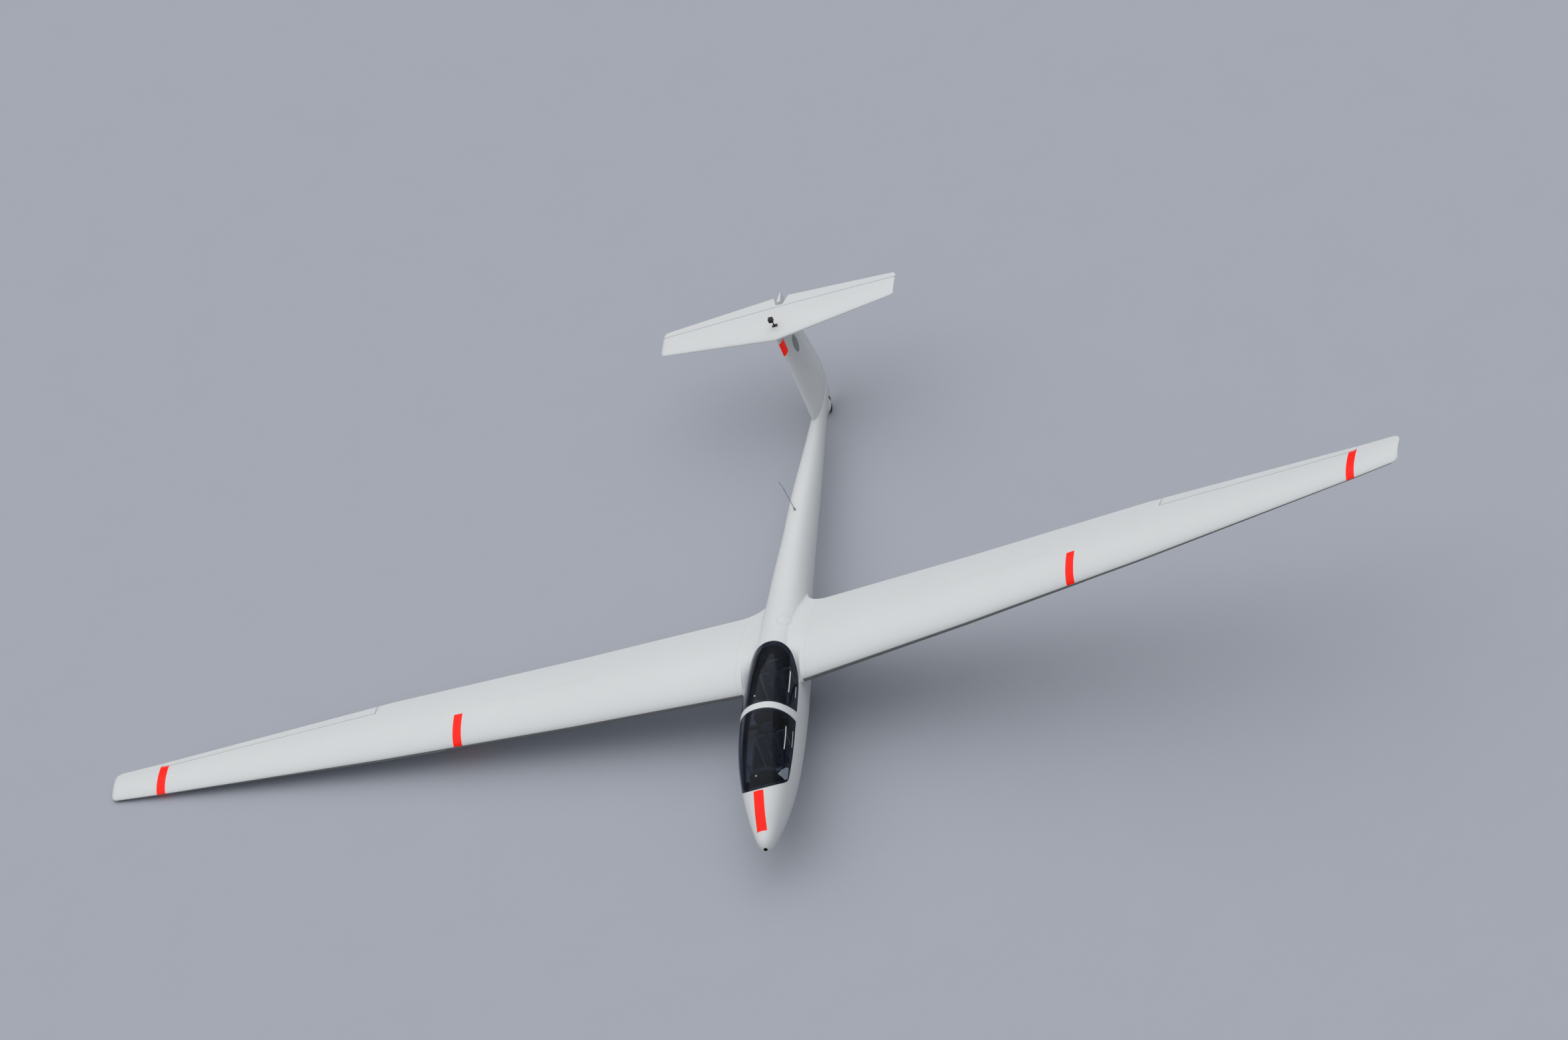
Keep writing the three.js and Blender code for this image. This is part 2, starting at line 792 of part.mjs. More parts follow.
function ringAboutX(profile, wheel, segments) {
  const points = profile.map(([radius, x]) => new THREE.Vector2(radius, x));
  points.push(points[0].clone());
  const geometry = new THREE.LatheGeometry(points, segments);
  geometry.rotateZ(Math.PI / 2);
  geometry.translate(0, wheel.y, wheel.z);
  return toSolid(geometry);
}

function tyre(wheel) {
  const { radius, width, rim } = wheel;
  const half = width / 2;
  const bead = half * 0.66;
  const profile = [
    [rim, -bead],
    [radius * 0.74, -half],
    [radius * 0.92, -half * 0.84],
    [radius, -half * 0.42],
    [radius, half * 0.42],
    [radius * 0.92, half * 0.84],
    [radius * 0.74, half],
    [rim, bead],
  ];
  return ringAboutX(profile, wheel, wheel.sides);
}

function rimOf(wheel) {
  const { width, rim, axle, hub } = wheel;
  const bead = (width / 2) * 0.66;
  const bore = axle + 0.6;
  const outer = rim * Math.cos(Math.PI / wheel.sides) - touchGap;
  const profile = [
    [bore, -hub / 2],
    [axle + 13, -hub / 2],
    [outer - 12, -8],
    [outer - 9, -bead],
    [outer, -bead],
    [outer, bead],
    [outer - 9, bead],
    [outer - 12, 8],
    [axle + 13, hub / 2],
    [bore, hub / 2],
  ];
  return ringAboutX(profile, wheel, wheel.sides / 2);
}

const forkThickness = 7;
const forkRiseShare = 0.82;

// An axle with its collars, and the two plates that hold its ends against the walls of the well
function forkedAxle(wheel) {
  const half = wheel.width / 2 + wellSide;
  const { y, z } = wheel;
  const plates = [-1, 1].map((side) => {
    const ends = [side * (half - touchGap - forkThickness), side * (half - touchGap)];
    const foot = bar([ends[0], y, z], [ends[1], y, z], 26, 26, 16);
    const leg = box(Math.min(...ends), Math.max(...ends), y - 26, y + 26, z, z + wheel.radius * forkRiseShare);
    return foot.add(leg);
  });
  return axleOf(wheel, half).add(plates[0]).add(plates[1]);
}

function axleOf(wheel, half) {
  const end = half - touchGap;
  const { y, z, axle } = wheel;
  const shaft = bar([-end, y, z], [end, y, z], axle);
  const collars = [-1, 1].map((side) => {
    const x = side * (wheel.hub / 2 + 1);
    return bar([x, y, z], [side * end, y, z], axle + 6);
  });
  return shaft.add(collars[0]).add(collars[1]);
}

// Cockpits. Each seat has its own reference point at the foot of its back.

const seats = {
  front: { y: 1590, z: -330, backTopY: 1762, backTopZ: 60, panY: 1270, panZ: -290, width: 420 },
  rear: { y: 2560, z: -250, backTopY: 2770, backTopZ: 140, panY: 2230, panZ: -210, width: 420 },
};
const panThickness = 14;
const cushionThickness = 46;
const headrestRise = 130;

// A strip of the seat, from one distance to another along its pan or its back, in side view
function seatStrip(seat, part, from, to, low, high) {
  const end = part === 'back' ? [seat.backTopY, seat.backTopZ] : [seat.panY, seat.panZ];
  const run = new THREE.Vector2(end[0] - seat.y, end[1] - seat.z);
  const length = run.length();
  run.normalize();
  const out = new THREE.Vector2(-run.y, run.x).multiplyScalar(part === 'back' ? 1 : -1);
  const at = (s, shift) => [
    seat.y + run.x * (s > 0 ? s : 0) + out.x * shift,
    seat.z + run.y * (s > 0 ? s : 0) + out.y * shift,
  ];
  const last = length + to;
  return [at(from, low), at(last, low), at(last, high), at(from, high)];
}

function seatPan(seat) {
  const half = seat.width / 2;
  const pan = sideSlab(seatStrip(seat, 'pan', 0, 0, 0, -panThickness), -half, half);
  const back = sideSlab(seatStrip(seat, 'back', 0, 0, 0, -panThickness), -half, half);
  const board = sideSlab(seatStrip(seat, 'back', 0, headrestRise, 0, -panThickness), -70, 70);
  const knee = box(-half, half, seat.y - 6, seat.y + 20, seat.z - panThickness, seat.z);
  const foot = Math.min(seat.z, seat.panZ) - 6;
  const plate = pan.add(back).add(board).add(knee);
  const legs = [-1, 1].map((side) => {
    const x = side * (half - 30);
    return box(x - 8, x + 8, seat.panY + 20, seat.y, -600, foot);
  });
  return plate.add(legs[0]).add(legs[1]).intersect(shrunkRoom());
}

// The cockpit's inside, less a touching gap, that the fittings are trimmed to
function shrunkRoom() {
  const room = fuselageLoft(cavityFrontY + 5, cavityRearY - 5, skin + touchGap);
  return room;
}

function seatCushion(seat) {
  const half = seat.width / 2 - 12;
  const outline = seatStrip(seat, 'pan', cushionThickness + 2, 0, touchGap, cushionThickness);
  return sideSlab(outline, -half, half).intersect(shrunkRoom());
}

function backCushion(seat) {
  const half = seat.width / 2 - 18;
  const outline = seatStrip(seat, 'back', 8, -4, touchGap, cushionThickness);
  return sideSlab(outline, -half, half).intersect(shrunkRoom());
}

function headrest(seat) {
  const length = Math.hypot(seat.backTopY - seat.y, seat.backTopZ - seat.z);
  const outline = seatStrip(seat, 'back', length + 4, headrestRise, touchGap, cushionThickness - 6);
  return sideSlab(outline, -90, 90);
}

const panels = {
  front: { y: 1010, top: 196, bottom: -120, half: 172, depth: 60 },
  rear: { y: 1955, top: 300, bottom: 20, half: 165, depth: 60 },
};

function instrumentPanel(panel) {
  const { y, top, bottom, half, depth } = panel;
  const shape = new THREE.Shape();
  const corner = half * 0.6;
  shape.moveTo(-half * 0.55, bottom);
  shape.lineTo(half * 0.55, bottom);
  shape.lineTo(half, bottom + 110);
  shape.lineTo(half, top - corner);
  shape.absarc(half - corner, top - corner, corner, 0, Math.PI / 2, false);
  shape.absarc(corner - half, top - corner, corner, Math.PI / 2, Math.PI, false);
  shape.lineTo(-half, bottom + 110);
  const geometry = new THREE.ExtrudeGeometry(shape, { depth, bevelEnabled: false, curveSegments: 6 });
  geometry.rotateX(Math.PI / 2);
  geometry.translate(0, y, 0);
  return toSolid(geometry);
}

function frontPanel() {
  const pedestal = box(-50, 50, panels.front.y - 60, panels.front.y, -400, panels.front.bottom + 20);
  const housing = wellHousing(noseWheel);
  const lifted = box(-200, 200, 600, 1400, -600, noseWheel.z + noseWheel.radius + wellRound + skin + touchGap);
  return instrumentPanel(panels.front).add(pedestal).subtract(housing.add(lifted));
}

function rearPanel() {
  const room = shrunkRoom().subtract(openingSlab(-touchGap));
  const shelf = box(-400, 400, panels.rear.y - 40, panels.rear.y, 30, 90);
  return instrumentPanel(panels.rear).add(shelf.intersect(room.add(instrumentPanel(panels.rear))));
}

const sticks = { front: { y: 1215, z: -430 }, rear: { y: 2085, z: -430 } };

function controlStick({ y, z }) {
  const foot = bar([0, y, z - 100], [0, y, z + 30], 34, 26);
  const shaft = bar([0, y, z], [0, y + 40, z + 330], 10);
  const grip = bar([0, y + 34, z + 300], [0, y + 14, z + 420], 17, 15);
  return foot.add(shaft).add(grip).intersect(shrunkRoom());
}

function rudderPedals(y, spread, z) {
  const rail = box(-spread - 60, spread + 60, y - 14, y + 14, z - 12, z + 12);
  const plates = [-1, 1].map((side) => {
    const x = side * spread;
    const outline = [
      [y - 20, z - 60],
      [y - 4, z - 60],
      [y - 34, z + 120],
      [y - 50, z + 120],
    ];
    return sideSlab(outline, x - 42, x + 42);
  });
  const wide = box(-far / 5, far / 5, y - 9, y + 9, z - 9, z + 9);
  return rail.add(plates[0]).add(plates[1]).add(wide).intersect(shrunkRoom());
}

function sideConsole(side) {
  const outline = [
    [1120, -96],
    [1120, -60],
    [2480, 10],
    [2480, -50],
    [1760, -96],
  ];
  const shelf = sideSlab(outline, side > 0 ? 262 : -far / 5, side > 0 ? far / 5 : -262);
  const levers = [1330, 2290].map((y, i) => {
    const z = i ? -20 : -80;
    const x = side * 276;
    const post = bar([x, y, z], [x, y, z + 76], 7);
    return post.add(bar([x, y, z + 60], [x, y, z + 104], 15, 13));
  });
  return shelf.add(levers[0]).add(levers[1]).intersect(shrunkRoom());
}

// Small pieces outside

// An open tow hook on a plate under the belly
function towHook(y, bottomZ) {
  const plateDrop = 8;
  const low = bottomZ - plateDrop;
  const base = box(-16, 16, y - 44, y + 44, low, bottomZ + 40);
  const hookRadius = 16;
  const eye = 8;
  const z = low - 10;
  const ring = bar([-9, y + 10, z], [9, y + 10, z], hookRadius, hookRadius, 16);
  const bore = bar([-40, y + 10, z - 3], [40, y + 10, z - 3], eye, eye, 12);
  const skinLine = fuselageLoft(180, bulkheadY, -touchGap);
  return base.add(ring).subtract(bore).subtract(skinLine);
}

function energyProbe() {
  const points = [
    [0, 5532, 150],
    [0, 5562, 605],
    [0, 5522, 705],
  ];
  const foot = bar(points[0], [0, 5534, 230], 16, 8, 12);
  const mast = bar(points[0], points[1], 6, 5, 10);
  const nose = bar(points[1], points[2], 5, 5, 10);
  const ball = new THREE.SphereGeometry(5.6, 10, 8);
  ball.translate(...points[1]);
  const boom = fuselageLoft(5020, 6490, -touchGap);
  return foot.add(mast).add(nose).add(toSolid(ball)).subtract(boom);
}

function tailCamera() {
  const y = 7712;
  const top = tailplaneZ + 30;
  const foot = box(-34, 34, y - 22, y + 22, top, tailplaneZ + 56);
  const stalk = bar([0, y, tailplaneZ + 40], [0, y - 20, tailplaneZ + 150], 8);
  const head = box(-30, 30, y - 52, y + 8, tailplaneZ + 140, tailplaneZ + 196);
  const lens = bar([0, y - 50, tailplaneZ + 168], [0, y - 64, tailplaneZ + 168], 20);
  return foot.add(stalk).add(head).add(lens).subtract(tailplaneLoft(touchGap));
}

// Everything by name. Columns: name, solid, colour, roughness, metalness
const parts = [];

function addPart(name, solid, colour, roughness, metalness = 0) {
  parts.push({ name, solid, colour, roughness, metalness });
}

const fin = finPieces();
const tail = tailplanePieces();
const rudderCove = noseBar(hingeFrame(rudderHingeFoot, rudderHingeTop), rudderNoses, coveGap + 3, 0);
const rudderRoom = framedBox(
  hingeFrame(rudderHingeFoot, rudderHingeTop),
  -100,
  500,
  0,
  600,
  -400,
  400,
);

addPart('cockpit_shell', cockpitShell(), colours.gelcoat, 0.25);
addPart('tail_boom', tailBoom().subtract(rudderCove).subtract(rudderRoom), colours.gelcoat, 0.25);
addPart('fin', fin.fixed, colours.gelcoat, 0.25);
addPart('rudder', fin.moving, colours.gelcoat, 0.25);
addPart('stabiliser', tail.fixed, colours.gelcoat, 0.25);
addPart('elevator', tail.moving, colours.gelcoat, 0.25);
[['left', 1], ['right', -1]].forEach(([word, side]) => {
  const pieces = wingPieces(side);
  addPart(`${word}_wing`, pieces.wing, colours.gelcoat, 0.25);
  addPart(`${word}_aileron`, pieces.aileron, colours.gelcoat, 0.25);
  addPart(`${word}_airbrake`, pieces.airbrake, colours.metal, 0.4, 0.6);
});
addPart('canopy_arch', canopyArch(), colours.gelcoat, 0.25);
[['front', true], ['rear', false]].forEach(([word, isFront]) => {
  addPart(`${word}_canopy_frame`, canopyFrame(isFront), colours.frame, 0.5);
  addPart(`${word}_canopy_glass`, canopyGlass(isFront), colours.glass, 0.1);
});
addPart('clear_vision_window', clearVisionWindow(), colours.glass, 0.1);
['front', 'rear'].forEach((word) => {
  addPart(`${word}_seat_pan`, seatPan(seats[word]), colours.seat, 0.6);
  addPart(`${word}_seat_cushion`, seatCushion(seats[word]), colours.cushion, 0.9);
  addPart(`${word}_back_cushion`, backCushion(seats[word]), colours.cushion, 0.9);
  addPart(`${word}_headrest`, headrest(seats[word]), colours.cushion, 0.9);
  addPart(`${word}_stick`, controlStick(sticks[word]), colours.black, 0.6);
});
addPart('front_instrument_panel', frontPanel(), colours.panel, 0.7);
addPart('rear_instrument_panel', rearPanel(), colours.panel, 0.7);
addPart('front_pedals', rudderPedals(640, 90, -250), colours.metal, 0.4, 0.8);
addPart('rear_pedals', rudderPedals(1880, 150, -230), colours.metal, 0.4, 0.8);
addPart('left_console', sideConsole(1), colours.seat, 0.6);
addPart('right_console', sideConsole(-1), colours.seat, 0.6);
[['main', mainWheel], ['nose', noseWheel], ['tail', tailWheel]].forEach(([word, wheel]) => {
  const axle = word === 'tail' ? axleOf(wheel, wheel.width / 2 + tailSlotSide) : forkedAxle(wheel);
  addPart(`${word}_tyre`, tyre(wheel), colours.tyre, 0.9);
  addPart(`${word}_rim`, rimOf(wheel), colours.metal, 0.4, 0.8);
  addPart(`${word}_axle`, axle, colours.metal, 0.4, 0.8);
});
addPart('nose_tow_hook', towHook(330, -371), colours.metal, 0.4, 0.8);
addPart('belly_tow_hook', towHook(2680, -481), colours.metal, 0.4, 0.8);
addPart('energy_probe', energyProbe(), colours.metal, 0.4, 0.8);
addPart('tail_camera', tailCamera(), colours.black, 0.6);

// Lowest point of a solid once it is turned
function lowest(solid, turn) {
  const { vertProperties } = solid.getMesh();
  const point = new THREE.Vector3();
  let low = Infinity;
  for (let i = 0; i < vertProperties.length; i += 3) {
    point.fromArray(vertProperties, i).applyQuaternion(turn);
    low = Math.min(low, point.z);
  }
  return low;
}

// Pitch and roll that bring the two wheels and the starboard tip to one level
function parkedTurn() {
  const find = (name) => parts.find((part) => part.name === name).solid;
  const wheelBase = tailWheel.y - mainWheel.y;
  let pitch = -0.07;
  let roll = -0.16;
  const turn = new THREE.Quaternion();
  for (let i = 0; i < 60; i += 1) {
    turn.setFromEuler(new THREE.Euler(pitch, roll, 0, 'XYZ'));
    const main = lowest(find('main_tyre'), turn);
    const rear = lowest(find('tail_tyre'), turn);
    const tip = lowest(find('right_wing'), turn);
    pitch -= (rear - main) / wheelBase;
    roll -= (tip - main) / wingHalfSpan;
  }
  return turn;
}

function makeMesh({ name, solid, colour, roughness, metalness }) {
  const material = new THREE.MeshStandardMaterial({ color: colour, roughness, metalness });
  material.flatShading = true;
  const mesh = new THREE.Mesh(toGeometry(solid), material);
  mesh.name = name;
  return mesh;
}

const airframe = new THREE.Group();
airframe.quaternion.copy(parkedTurn());
parts.forEach((part) => airframe.add(makeMesh(part)));
airframe.updateMatrixWorld(true);
const bounds = new THREE.Box3().setFromObject(airframe, true);
const middle = bounds.getCenter(new THREE.Vector3());
airframe.position.set(-middle.x, -middle.y, -bounds.min.z);

const glider = new THREE.Group();
glider.add(airframe);

export default glider;
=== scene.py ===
import math

import bpy
import numpy as np
from mathutils import Matrix, Vector


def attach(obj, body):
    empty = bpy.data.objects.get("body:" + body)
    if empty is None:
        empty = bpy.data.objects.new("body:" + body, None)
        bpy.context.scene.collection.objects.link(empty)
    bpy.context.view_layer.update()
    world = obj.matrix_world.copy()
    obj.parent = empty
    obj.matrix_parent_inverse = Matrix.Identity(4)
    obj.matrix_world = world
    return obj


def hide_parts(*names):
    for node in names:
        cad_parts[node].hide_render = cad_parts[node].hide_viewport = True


# A two-seat training glider, parked. Everything is shaped in the glider's own frame, in metres:
# x to port, y aft from the nose, z up, and each finished mesh is then set down on its wheels.

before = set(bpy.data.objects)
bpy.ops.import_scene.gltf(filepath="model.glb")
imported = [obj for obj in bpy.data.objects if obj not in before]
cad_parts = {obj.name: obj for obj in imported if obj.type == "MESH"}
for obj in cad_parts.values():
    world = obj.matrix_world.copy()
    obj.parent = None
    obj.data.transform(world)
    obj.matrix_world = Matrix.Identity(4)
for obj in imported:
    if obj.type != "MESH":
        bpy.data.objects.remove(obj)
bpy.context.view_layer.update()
print("frame loaded:", len(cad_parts), "nodes")

parked = {"place": (0.18206615, -4.20207518, 0.89258837), "pitch": -0.07397538, "roll": -0.19015619}
toGround = (
    Matrix.Translation(parked["place"])
    @ Matrix.Rotation(parked["pitch"], 4, "X")
    @ Matrix.Rotation(parked["roll"], 4, "Y")
)

# Working helpers


def clearSelection():
    if bpy.context.mode != "OBJECT":
        bpy.ops.object.mode_set(mode="OBJECT")
    bpy.ops.object.select_all(action="DESELECT")


def pick(piece):
    clearSelection()
    piece.select_set(True)
    bpy.context.view_layer.objects.active = piece


def rename(piece, name):
    piece.name = piece.data.name = name
    return piece


def pointsOf(piece):
    at = np.empty(len(piece.data.vertices) * 3)
    piece.data.vertices.foreach_get("co", at)
    return at.reshape(-1, 3)


def setPoints(piece, points):
    piece.data.vertices.foreach_set("co", np.asarray(points, float).ravel())
    piece.data.update()


def changeBy(piece, kind, **values):
    # one modifier, set and applied
    pick(piece)
    bpy.ops.object.modifier_add(type=kind)
    change = piece.modifiers[-1]
    for label, value in values.items():
        setattr(change, label, value)
    bpy.ops.object.modifier_apply(modifier=change.name)
    return piece


mergeUnder = 0.00002


def tidyFaces(piece):
    pick(piece)
    bpy.ops.object.mode_set(mode="EDIT")
    bpy.ops.mesh.select_all(action="SELECT")
    bpy.ops.mesh.remove_doubles(threshold=mergeUnder)
    bpy.ops.mesh.normals_make_consistent(inside=False)
    bpy.ops.object.mode_set(mode="OBJECT")


def fillLoop(piece, members):
    # a face over one ring of vertices
    bpy.ops.object.mode_set(mode="EDIT")
    bpy.ops.mesh.select_mode(type="VERT")
    bpy.ops.mesh.select_all(action="DESELECT")
    bpy.ops.object.mode_set(mode="OBJECT")
    for i in members:
        piece.data.vertices[int(i)].select = True
    bpy.ops.object.mode_set(mode="EDIT")
    bpy.ops.mesh.edge_face_add()
    bpy.ops.object.mode_set(mode="OBJECT")


def loftPiece(name, rings, joined=False):
    # a circle extruded ring by ring, each ring laid on its own outline. The last ring is joined
    # to the first, or both are closed by a face
    rings = np.array(rings, float)
    count, sides = rings.shape[:2]
    clearSelection()
    bpy.ops.mesh.primitive_circle_add(vertices=sides, radius=1.0, fill_type="NOTHING")
    piece = rename(bpy.context.active_object, name)
    bpy.ops.object.mode_set(mode="EDIT")
    bpy.ops.mesh.select_mode(type="EDGE")
    bpy.ops.mesh.select_all(action="SELECT")
    for _ in range(count - 1):
        bpy.ops.mesh.extrude_region_move(TRANSFORM_OT_translate={"value": (0, 0, 1)})
    bpy.ops.object.mode_set(mode="OBJECT")
    at = pointsOf(piece)
    ring = np.rint(at[:, 2]).astype(int)
    angle = np.arctan2(at[:, 1], at[:, 0])
    turn = np.rint((angle - angle[0]) / (2 * math.pi) * sides).astype(int) % sides
    if joined:
        bpy.ops.object.mode_set(mode="EDIT")
        bpy.ops.mesh.select_all(action="DESELECT")
        bpy.ops.mesh.select_mode(type="EDGE")
        bpy.ops.mesh.select_non_manifold(extend=False)
        bpy.ops.mesh.bridge_edge_loops()
        bpy.ops.object.mode_set(mode="OBJECT")
    else:
        fillLoop(piece, np.flatnonzero(ring == 0))
        fillLoop(piece, np.flatnonzero(ring == count - 1))
    setPoints(piece, rings[ring, turn])
    tidyFaces(piece)
    return piece


def sheetPiece(name, points):
    # a grid laid on rows of points
    points = np.array(points, float)
    rows, columns = points.shape[:2]
    clearSelection()
    bpy.ops.mesh.primitive_grid_add(x_subdivisions=rows - 1, y_subdivisions=columns - 1, size=2)
    piece = rename(bpy.context.active_object, name)
    share = (pointsOf(piece)[:, :2] + 1) / 2
    row, column = np.rint(share * (rows - 1, columns - 1)).astype(int).T
    setPoints(piece, points[row, column])
    return piece


def slabPiece(name, outline, low, high, axis="x"):
    # an outline carried along one axis: (y, z) points along x, (x, z) along y, (x, y) along z
    place = {
        "x": lambda a, b, c: (c, a, b),
        "y": lambda a, b, c: (a, c, b),
        "z": lambda a, b, c: (a, b, c),
    }[axis]
    return loftPiece(name, [[place(a, b, c) for a, b in outline] for c in (low, high)])


def circleAbout(centre, along, radius, sides):
    along = np.array(along, float) / np.linalg.norm(along)
    side = np.cross(along, (0, 0, 1) if abs(along[2]) < 0.9 else (1, 0, 0))
    side = side / np.linalg.norm(side)
    other = np.cross(along, side)
    turn = np.linspace(0, 2 * math.pi, sides, endpoint=False)[:, None]
    return np.array(centre, float) + radius * (np.cos(turn) * side + np.sin(turn) * other)


def pipePiece(name, points, radii, sides=20, softEnd=0.3):
    # a round bar through points, its radius given at each, with its ends eased
    points = np.array(points, float)
    radii = np.full(len(points), radii, float) if np.isscalar(radii) else np.array(radii, float)
    runs = np.diff(points, axis=0)
    runs = runs / np.linalg.norm(runs, axis=1)[:, None]
    along = np.vstack([runs[:1], runs[:-1] + runs[1:], runs[-1:]])
    rings = []
    for i, (point, direction, radius) in enumerate(zip(points, along, radii)):
        ring = circleAbout(point, direction, radius, sides)
        if i in (0, len(points) - 1):
            ease = radius * softEnd
            inward = runs[0] if i == 0 else -runs[-1]
            small = circleAbout(point, direction, radius - ease, sides)
            pair = [small, ring + inward * ease]
            rings.extend(pair if i == 0 else pair[::-1])
        else:
            rings.append(ring)
    return loftPiece(name, rings)


def turnedPiece(name, profile, centre, axis="x", sides=48, joined=True):
    # a profile of (radius, distance along the axis) turned round it
    along = np.array({"x": (1, 0, 0), "y": (0, 1, 0), "z": (0, 0, 1)}[axis])
    rings = [circleAbout(centre + along * shift, along, radius, sides) for radius, shift in profile]
    return loftPiece(name, rings, joined)


def blockPiece(name, low, high, ease=0.002, segments=2):
    low, high = np.array(low, float), np.array(high, float)
    clearSelection()
    bpy.ops.mesh.primitive_cube_add(size=1, location=(low + high) / 2)
    piece = rename(bpy.context.active_object, name)
    bpy.ops.object.mode_set(mode="EDIT")
    bpy.ops.mesh.select_all(action="SELECT")
    bpy.ops.transform.resize(value=tuple(high - low), center_override=tuple((low + high) / 2))
    bpy.ops.mesh.bevel(offset=ease, segments=segments, affect="EDGES")
    bpy.ops.object.mode_set(mode="OBJECT")
    pick(piece)
    bpy.ops.object.transform_apply(location=True, rotation=True, scale=True)
    return piece


def sameAgain(piece, name):
    pick(piece)
    bpy.ops.object.duplicate()
    return rename(bpy.context.active_object, name)


def combine(piece, other, how="DIFFERENCE"):
    changeBy(piece, "BOOLEAN", operation=how, solver="EXACT", object=other, material_mode="TRANSFER")
    bpy.data.objects.remove(other)
    return piece


def joinAll(pieces, name=None):
    # all of them become part of the first
    pick(pieces[0])
    for other in pieces[1:]:
        other.select_set(True)
    bpy.ops.object.join()
    return rename(pieces[0], name or pieces[0].name)


def paint(piece, material):
    piece.data.materials.clear()
    piece.data.materials.append(material)
    return piece


def setDown(piece, body, replaced=(), angle=32):
    # the finished mesh goes onto the ground and rides on its body
    piece.data.transform(toGround)
    pick(piece)
    bpy.ops.object.shade_smooth_by_angle(angle=math.radians(angle))
    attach(piece, body)
    if replaced:
        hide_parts(*replaced)
    return piece


def smoothRows(table, squareRoot=False):
    # a curve through the rows of a table that never overshoots them
    rows = np.array(table, float)
    at = np.sqrt(rows[:, 0]) if squareRoot else rows[:, 0]
    values = rows[:, 1:]
    step = np.diff(at)[:, None]
    rise = np.diff(values, axis=0) / step
    slope = np.zeros_like(values)
    low, high = rise[:-1], rise[1:]
    near, far = 2 * step[1:] + step[:-1], step[1:] + 2 * step[:-1]
    same = low * high > 0
    bottom = np.where(same, near * high + far * low, 1)
    slope[1:-1] = np.where(same, (near + far) * low * high / bottom, 0)
    slope[0], slope[-1] = rise[0], rise[-1]

    def valueAt(key):
        key = math.sqrt(max(key, 0)) if squareRoot else key
        i = int(np.clip(np.searchsorted(at, key) - 1, 0, len(at) - 2))
        width = at[i + 1] - at[i]
        t = (key - at[i]) / width
        return (
            (1 + 2 * t) * (1 - t) ** 2 * values[i]
            + t * (1 - t) ** 2 * width * slope[i]
            + t * t * (3 - 2 * t) * values[i + 1]
            + t * t * (t - 1) * width * slope[i + 1]
        )

    return valueAt


def rowAt(table, key):
    rows = np.array(table, float)
    return np.array([np.interp(key, rows[:, 0], rows[:, i]) for i in range(1, rows.shape[1])])


# Materials


def newMaterial(name):
    material = bpy.data.materials.new(name)
    material.use_nodes = True
    return material, material.node_tree, material.node_tree.nodes["Principled BSDF"]


def newGroup(name, inputs, outputs):
    group = bpy.data.node_groups.new(name, "ShaderNodeTree")
    for label, kind, value in inputs:
        socket = group.interface.new_socket(name=label, in_out="INPUT", socket_type=kind)
        socket.default_value = value
    for label, kind in outputs:
        group.interface.new_socket(name=label, in_out="OUTPUT", socket_type=kind)
    return group, group.nodes.new("NodeGroupInput"), group.nodes.new("NodeGroupOutput")


def feed(tree, socket, value):
    # a socket takes a fixed value or what another node gives
    if isinstance(value, (int, float, tuple)):
        socket.default_value = value
    else:
        tree.links.new(value, socket)


def sums(tree, operation, first, second=0.5, clamp=False):
    node = tree.nodes.new("ShaderNodeMath")
    node.operation = operation
    node.use_clamp = clamp
    feed(tree, node.inputs[0], first)
    feed(tree, node.inputs[1], second)
    return node.outputs[0]


def minus(tree, first, second):
    return sums(tree, "SUBTRACT", first, second)


def times(tree, first, *others):
    for other in others:
        first = sums(tree, "MULTIPLY", first, other)
    return first


def mixColours(tree, share, first, second):
    node = tree.nodes.new("ShaderNodeMix")
    node.data_type = "RGBA"
    for i, value in ((0, share), (6, first), (7, second)):  # 6 and 7 are its colour sockets
        feed(tree, node.inputs[i], value)
    return node.outputs[2]


def objectPlace(tree):
    return tree.nodes.new("ShaderNodeTexCoord").outputs["Object"]


def noiseAt(tree, vector, scale, detail=2.0, roughness=0.5):
    node = tree.nodes.new("ShaderNodeTexNoise")
    for label, value in (("Vector", vector), ("Scale", scale), ("Detail", detail), ("Roughness", roughness)):
        feed(tree, node.inputs[label], value)
    return node.outputs["Fac"]


def useGroup(tree, group, **values):
    node = tree.nodes.new("ShaderNodeGroup")
    node.node_tree = group
    for label, value in values.items():
        feed(tree, node.inputs[label.replace("_", " ")], value)
    return node


def addBump(tree, shader, height, strength, distance):
    node = tree.nodes.new("ShaderNodeBump")
    for label, value in (("Height", height), ("Strength", strength), ("Distance", distance)):
        feed(tree, node.inputs[label], value)
    tree.links.new(node.outputs["Normal"], shader.inputs["Normal"])


def makeGliderPlace():
    # the glider's own x, y and z at a point of the parked object
    outputs = [(label, "NodeSocketFloat") for label in ("Across", "Aft", "Up")]
    group, _, end = newGroup("gliderPlace", [], outputs)
    mapping = group.nodes.new("ShaderNodeMapping")
    mapping.inputs["Rotation"].default_value = (-parked["pitch"], -parked["roll"], 0)
    mapping.inputs["Location"].default_value = toGround.inverted().to_translation()
    split = group.nodes.new("ShaderNodeSeparateXYZ")
    group.links.new(objectPlace(group), mapping.inputs["Vector"])
    group.links.new(mapping.outputs["Vector"], split.inputs[0])
    for i in range(3):
        group.links.new(split.outputs[i], end.inputs[i])
    return group


